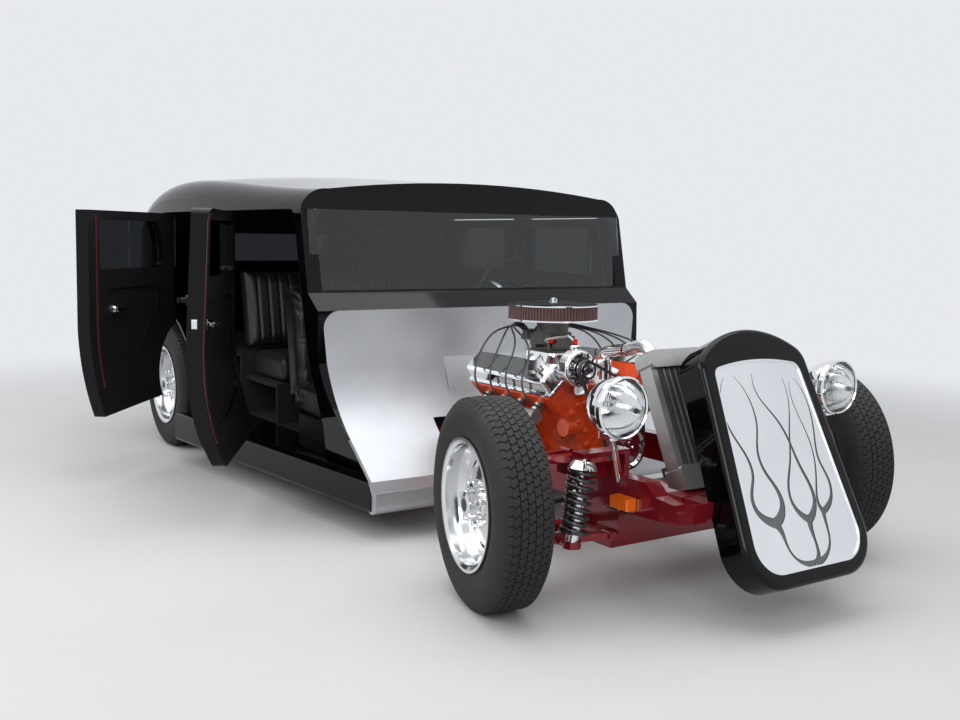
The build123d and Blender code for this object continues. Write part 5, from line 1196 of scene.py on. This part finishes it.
BAR_X, BAR_Y, SILL_HEIGHT = -1.500, 0.8533 - 0.031, 0.989
bar = prism(box_outline(0.0085, 0.0105), 0.236, 0.001)
for side, side_name in SIDES:
    foot = Matrix.Translation((BAR_X, side * BAR_Y, above_floor(SILL_HEIGHT)))
    finished("window_bar_" + side_name, gathered([bar], door_turn("front", side) @ foot), chrome,
             "door_front_" + side_name)
print("welts, levers and latches on four doors; the last lever at", [round(v, 3) for v in spot])

# %% [markdown]
# ## Dials
# The instruments are pale dials in chrome rings, with a ring of ticks and a needle each. They sit
# in the recesses of the dashboard and face the driver.

# %% Instruments
GAUGES = [(0.400, 0.042), (0.275, 0.034), (0.525, 0.034), (-0.090, 0.030), (0.0, 0.030), (0.090, 0.030)]
GAUGE_X, GAUGE_HEIGHT = -1.3475, 0.852
dials, rings, marks = [], [], []
tick = prism([(-0.0005, -0.005), (0.0005, -0.005), (0.0005, 0.0), (-0.0005, 0.0)], 0.0006)
tick.transform(ALONG_AXLE)
for number, (y, radius) in enumerate(GAUGES):
    face = axes_at((GAUGE_X, y, above_floor(GAUGE_HEIGHT)), (-1, 0, 0), UP)
    dial = turned([(0.0, 0.0), (0.0, radius - 0.001), (-0.002, radius - 0.001), (-0.002, 0.0)], 40)
    dials.append(gathered([dial], face))
    bezel = [(0.011, radius - 0.004), (0.0150, radius - 0.004), (0.0165, radius - 0.001),
             (0.0150, radius + 0.004), (0.0122, radius + 0.005)]
    rings.append(gathered([turned(bezel, 48, closed=True)], face))
    ticks = repeated(ring_tree, tick, pinstripe, Count=24, Radius=radius - 0.007, Along=0.0)
    reach = radius * 0.70
    needle = prism([(-0.0012, -0.004), (0.0012, -0.004), (0.0003, reach), (-0.0003, reach)], 0.0012,
                   base=0.0008)
    needle.transform(ALONG_AXLE)
    swing = Matrix.Rotation(radians(40 - 31 * number), 4, "X")
    marks += [gathered([ticks], face), gathered([needle], face @ swing)]
finished("dials", gathered(dials), dial_face)
finished("dial_rings", gathered(rings), chrome)
finished("dial_marks", gathered(marks), pinstripe)
print(len(GAUGES), "instruments")

# %% [markdown]
# ## Seats
# Seat cushions are stuffed, so their sides bulge between the seams. Each pad starts as a rounded
# block a little smaller than it should be. It is remeshed evenly, blown up as cloth with its
# movement capped, and smoothed. Then shallow channels are pressed into its face, because sewn
# channels would be lost in the remeshing.

# %% Stuffed pads
PRESSURE, CLOTH_STEPS, MOST_SWELL = 4.0, 20, 0.016
CHANNEL_PITCH, CHANNEL_DEPTH = 0.060, 0.007


def pad_block(size, corner):
    """Rounded block, centred on nothing, to start a pad from."""
    shape = bmesh.new()
    bmesh.ops.create_cube(shape, size=1.0)
    bmesh.ops.scale(shape, verts=shape.verts, vec=size)
    bmesh.ops.bevel(shape, geom=shape.edges[:], offset=corner, segments=3, affect="EDGES", profile=0.6)
    return plain(shape, "pad_block")


def points_of(mesh, field="co"):
    """Array of the places, or another field, of a mesh's vertices."""
    values = np.empty(len(mesh.vertices) * 3)
    mesh.vertices.foreach_get(field, values)
    return values.reshape(-1, 3)


def stuffed(mesh, voxel, most):
    """Mesh of a block remeshed evenly, swollen as cloth by at most a distance, and subdivided."""
    pad = shown("pad", mesh)
    remesh = pad.modifiers.new("remesh", "REMESH")
    remesh.mode, remesh.voxel_size = "VOXEL", voxel
    even = applied(pad)
    pad.modifiers.clear()
    pad.data = even
    cloth = pad.modifiers.new("cloth", "CLOTH")
    cloth.settings.use_pressure = True
    cloth.settings.uniform_pressure_force = PRESSURE
    cloth.settings.quality = 4
    cloth.settings.effector_weights.gravity = 0.0
    cloth.point_cache.frame_start, cloth.point_cache.frame_end = 1, CLOTH_STEPS
    for step in range(1, CLOTH_STEPS + 1):
        scene.frame_set(step)
    swollen = applied(pad)
    pad.modifiers.clear()
    scene.frame_set(1)
    start = points_of(even)
    shift = points_of(swollen) - start
    length = np.linalg.norm(shift, axis=1, keepdims=True)
    start += shift * np.minimum(1.0, most / np.maximum(length, 1e-9))
    even.vertices.foreach_set("co", start.ravel())
    even.update()
    rounder = pad.modifiers.new("rounder", "SUBSURF")
    rounder.levels = rounder.render_levels = 1
    smooth_mesh = applied(pad)
    bpy.data.objects.remove(pad)
    return smooth_mesh


def channelled(mesh, half_width, pitch, depth, up_axis):
    """Press channels across local Y into the face that looks along an axis."""
    points, facing = points_of(mesh), points_of(mesh, "normal")[:, up_axis]
    off = np.mod(points[:, 1], pitch)
    near = np.minimum(off, pitch - off)
    pressed = (np.abs(points[:, 1]) < half_width + pitch * 0.1) & (facing > 0.3)
    points[:, up_axis] -= pressed * depth * facing * np.exp(-((near / (pitch * 0.12)) ** 2))
    mesh.vertices.foreach_set("co", points.ravel())
    mesh.update()
    return mesh


# Columns: name, middle (x, y, height), size, lean in degrees, axis of its face, half width of its channels
PADS = [
    ("front_cushion_left", (-1.785, 0.370, 0.390), (0.430, 0.420, 0.130), 3, 2, 0.15),
    ("front_cushion_right", (-1.785, -0.370, 0.390), (0.430, 0.420, 0.130), 3, 2, 0.15),
    ("front_back_left", (-2.040, 0.370, 0.650), (0.112, 0.420, 0.550), -8, 0, 0.15),
    ("front_back_right", (-2.040, -0.370, 0.650), (0.112, 0.420, 0.550), -8, 0, 0.15),
    ("rear_cushion", (-2.375, 0.0, 0.499), (0.400, 1.120, 0.116), 0, 2, 0.50),
    ("rear_back", (-2.692, 0.0, 0.770), (0.076, 1.120, 0.420), -10, 0, 0.50),
]
shapes = {}
for name, (x, y, height), size, lean, face_axis, half_width in PADS:
    key = (size, face_axis)
    if key not in shapes:
        voxel = 0.008 if size[1] < 1 else 0.010
        pad_mesh = stuffed(pad_block(size, 0.030 if min(size) > 0.1 else 0.020), voxel, MOST_SWELL)
        shapes[key] = channelled(pad_mesh, half_width, CHANNEL_PITCH, CHANNEL_DEPTH, face_axis)
    mesh = shapes[key].copy()
    mesh.transform(Matrix.Translation((x, y, above_floor(height))) @ Matrix.Rotation(radians(lean), 4, "Y"))
    pad = finished(name, mesh, hide, angle=80)
    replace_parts(pad, "rear_seat" if "rear" in name else "front_seat")
    print(name, len(mesh.polygons), "faces")

# %% [markdown]
# ## Castings
# Cast iron has bosses and bolts wherever something is or was bolted on. The front of the engine
# gets a ring of bolts around its timing cover, and bosses with a bolt each on the block and heads.

# %% Bosses and bolts on the front of the engine
FRONT = ENGINE_X + 0.270
TIMING_RADIUS = 0.092
# For each boss: distance from the middle, height above the floor, scale
BOSSES = ((0.118, 0.455, 1.0), (0.150, 0.492, 0.8), (0.178, 0.527, 1.0), (0.120, 0.560, 0.9),
          (0.152, 0.556, 0.75), (0.106, 0.405, 0.9))
boss = turned([(-0.004, 0.0), (-0.004, 0.0155), (0.007, 0.0125), (0.009, 0.0105), (0.009, 0.0)], 20)
small_bolt = bolt_mesh(0.0060)
castings = []
for turn in (radians(-200 + 27.5 * n) for n in range(9)):
    spot = (FRONT + 0.0138, TIMING_RADIUS * cos(turn), CRANK + TIMING_RADIUS * sin(turn))
    castings.append(gathered([small_bolt], axes_at(spot, UP, AHEAD)))
for y, height, size in BOSSES:
    for side, _ in SIDES:
        foot = axes_at((FRONT, side * y, above_floor(height)), AHEAD, UP)
        top = axes_at((FRONT + 0.009 * size, side * y, above_floor(height)), UP, AHEAD)
        castings += [gathered([boss], foot @ Matrix.Scale(size, 4)), gathered([small_bolt], top)]
finished("engine_castings", gathered(castings), engine_orange)
print(len(castings), "bosses and bolts on the engine")

# %% [markdown]
# ## Firewall
# Behind the engine the firewall has a recess for the clutch housing. A brushed sheet closes it,
# following the curve of the firewall, and stays clear of the housing. The CAD panel has a faint
# fold where its flat top meets the curve. Turning the normals of the flat part evenly from one to
# the other makes it one sweep, as on the rolled sheet.

# %% Sheet in the recess, and one sweep above it
# The sheet follows (x, height) points from its top edge down to the clutch housing
FRONT_LINE = [(-1.1450, 0.660), (-1.1250, 0.611), (-1.1047, 0.561), (-1.0885, 0.521), (-1.0740, 0.485),
              (-1.0495, 0.455)]
SHEET_COLUMNS = (-0.253, -0.140, 0.140, 0.253)
SHEET = 0.004
FOLD, BELT = above_floor(0.660), above_floor(0.868)
sheet = bmesh.new()
rows = [[sheet.verts.new((x - SHEET, y, above_floor(height))) for y in SHEET_COLUMNS]
        for x, height in FRONT_LINE]
for upper, lower in zip(rows, rows[1:]):
    for n in range(3):
        if n != 1 or lower is not rows[-1]:
            sheet.faces.new((upper[n], upper[n + 1], lower[n + 1], lower[n]))
bmesh.ops.recalc_face_normals(sheet, faces=sheet.faces[:])
bmesh.ops.solidify(sheet, geom=sheet.faces[:], thickness=SHEET)
sheet_mesh = plain(sheet, "firewall_sheet")
finished("firewall_sheet", sheet_mesh, brushed_steel, angle=40)
print("sheet behind the engine,", len(sheet_mesh.polygons), "faces")

panel_mesh = nodes["firewall_panel"].data.copy()
normals = [corner.vector.copy() for corner in panel_mesh.corner_normals]
heights = [panel_mesh.vertices[loop.vertex_index].co.z for loop in panel_mesh.loops]
leans = {number: atan2(normal.z, normal.x) for number, normal in enumerate(normals)
         if normal.x > 0.3 and abs(normal.y) < 0.1}
lean_top = min(lean for number, lean in leans.items() if heights[number] > FOLD + 0.01)
lean_fold = max(lean for number, lean in leans.items() if abs(heights[number] - FOLD) < 0.001)
for number in leans:
    if heights[number] > FOLD - 0.001:
        lean = lean_fold + (lean_top - lean_fold) * (heights[number] - FOLD) / (BELT - FOLD)
        normals[number] = Vector((cos(lean), 0, sin(lean)))
panel_mesh.normals_split_custom_set(normals)
panel_mesh.materials.clear()
panel_mesh.materials.append(brushed_steel)
panel = shown("firewall", panel_mesh)
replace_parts(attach(panel, "chassis"), "firewall_panel")
print("firewall leans", round(degrees(lean_top), 1), "degrees at its top and",
      round(degrees(lean_fold), 1), "at the fold")

# %% [markdown]
# ## Inside the cabin
# The faces of the body and the doors that look into the cabin are matt, as painted trim is. Each
# front seat stands on a low box with rounded corners.

# %% Matt faces inside the cabin
CABIN = above_floor(0.95)


def cabin_finish(middle, normal):
    """0 paint, 1 matt on faces that look into the cabin."""
    inward = -(normal.y * middle.y + normal.z * (middle.z - CABIN))
    return 1 if inward > 0.35 * Vector((middle.y, middle.z - CABIN)).length else 0


for name in ("cowl", "roof", "back_panel", "body_side_left", "body_side_right"):
    recast(name, [black_gloss, trim_black], cabin_finish)
for side, side_name in SIDES:
    for kind in DOORS:
        shut = door_turn(kind, side).inverted()
        recast(f"door_{kind}_{side_name}", [black_gloss, vinyl],
               lambda middle, normal: 1 if -side * (shut.to_3x3() @ normal).y > 0.6 else 0)
print("cabin faces of nine pieces are matt")

# %% Seat bases


def rounded_plan(length, width, corner, steps=5):
    """Plan outline of a box with rounded corners."""
    outline = []
    for cx, cy, start in ((1, 1, 0), (-1, 1, 90), (-1, -1, 180), (1, -1, 270)):
        for n in range(steps + 1):
            a = radians(start + 90 * n / steps)
            outline.append((cx * (length / 2 - corner) + corner * cos(a),
                            cy * (width / 2 - corner) + corner * sin(a)))
    return outline


base = prism(rounded_plan(0.360, 0.380, 0.030), 0.084, 0.003)
base_places = [Matrix.Translation((-1.800, side * 0.370, above_floor(0.2353))) for side, _ in SIDES]
finished("seat_bases", copies_at(base, base_places), trim_black)
print("two seat bases")

# %% [markdown]
# ## Finishes on the CAD pieces
# A CAD piece keeps its mesh and only swaps its material. Pieces that a dressed copy replaces are
# in the table too, because every CAD piece gets a finish of its own. The table reads from the body
# to the cabin.

# %% Dress the CAD pieces


def four(stem):
    """Names of the four pieces that begin with a stem, one for each corner of the car."""
    return " ".join(f"{stem}_{corner}" for corner in CORNERS)


DRESS = {
    black_gloss: "cowl roof back_panel body_side_left body_side_right sills grille_shell " + four("door"),
    brushed_steel: "firewall_panel grille_insert",
    frame_red: "frame control_arms",
    engine_orange: "engine_block",
    chrome: "valve_covers air_cleaner headlamps alternator signal_brackets",
    polished: "intake_manifold " + four("wheel"),
    cast_alloy: "radiator transmission radiator_hoses",
    dull_zinc: "carburettor",
    satin_black: "knuckle_left knuckle_right steering_rack tie_rods rear_axle rear_suspension fuel_tank "
                 "front_coilovers accessory_drive ignition",
    pipe_steel: "exhaust",
    carpet: "floor",
    trim_black: "dashboard steering_wheel",
    tyre_black: four("tyre"),
    hide: "front_seat rear_seat",
    window_glass: "windscreen",
    tinted_glass: "rear_window " + four("door_glass"),
    fluted: "headlamp_lenses",
    amber: "turn_signals",
    red_lens: "tail_lamps",
}
dressed = set()
for material, names in DRESS.items():
    for name in names.split():
        dressed.add(name)
        for slot in nodes[name].material_slots:
            slot.material = material
print("dressed", len(dressed), "of", len(nodes), "CAD pieces; left over:", sorted(set(nodes) - dressed))

# %% [markdown]
# ## Floor
# A plain pale floor carries the car and its shadow. Far from the car it fades into the colour of
# the background, so that no horizon line cuts the picture. The fade is a glow that only direct and
# mirror views can see, so it throws no extra light on the car.

# %% Floor
FLOOR_HALF, FADE_START, FADE_END = 60, 2.7, 6.5
floor_mesh = bpy.data.meshes.new("floor")
floor_mesh.from_pydata([(x, y, FLOOR) for x, y in box_outline(FLOOR_HALF, FLOOR_HALF)], [], [(0, 1, 2, 3)])
floor = shown("studio_floor", floor_mesh)
pale, tree, shader = new_finish("pale floor", Roughness=0.75)
grit = effect(tree, clouds, Scale=1.5, Fine_Scale=160.0)
fill(shader, Base_Color=tint(tree, grit["Mask"], (0.50, 0.50, 0.50), (0.56, 0.56, 0.555)))
bump(shader, grit["Grain"], 0.15, 0.002)
centred = place(tree, "ShaderNodeMapping", Vector=object_position(tree), Location=(1.6, 0, 0)).outputs[0]
distance = place(tree, "ShaderNodeVectorMath", centred, operation="LENGTH").outputs["Value"]
fade = place(tree, "ShaderNodeMapRange", interpolation_type="SMOOTHSTEP", Value=distance,
             From_Min=FADE_START, From_Max=FADE_END).outputs["Result"]
glow = place(tree, "ShaderNodeEmission", Color=BACKDROP).outputs["Emission"]
blend = place(tree, "ShaderNodeMixShader", calc(tree, "MULTIPLY", fade, seen_directly(tree)),
              shader.outputs["BSDF"], glow)
fill(tree.nodes["Material Output"], Surface=blend.outputs["Shader"])
floor_mesh.materials.append(pale)
print("floor", 2 * FLOOR_HALF, "m across")
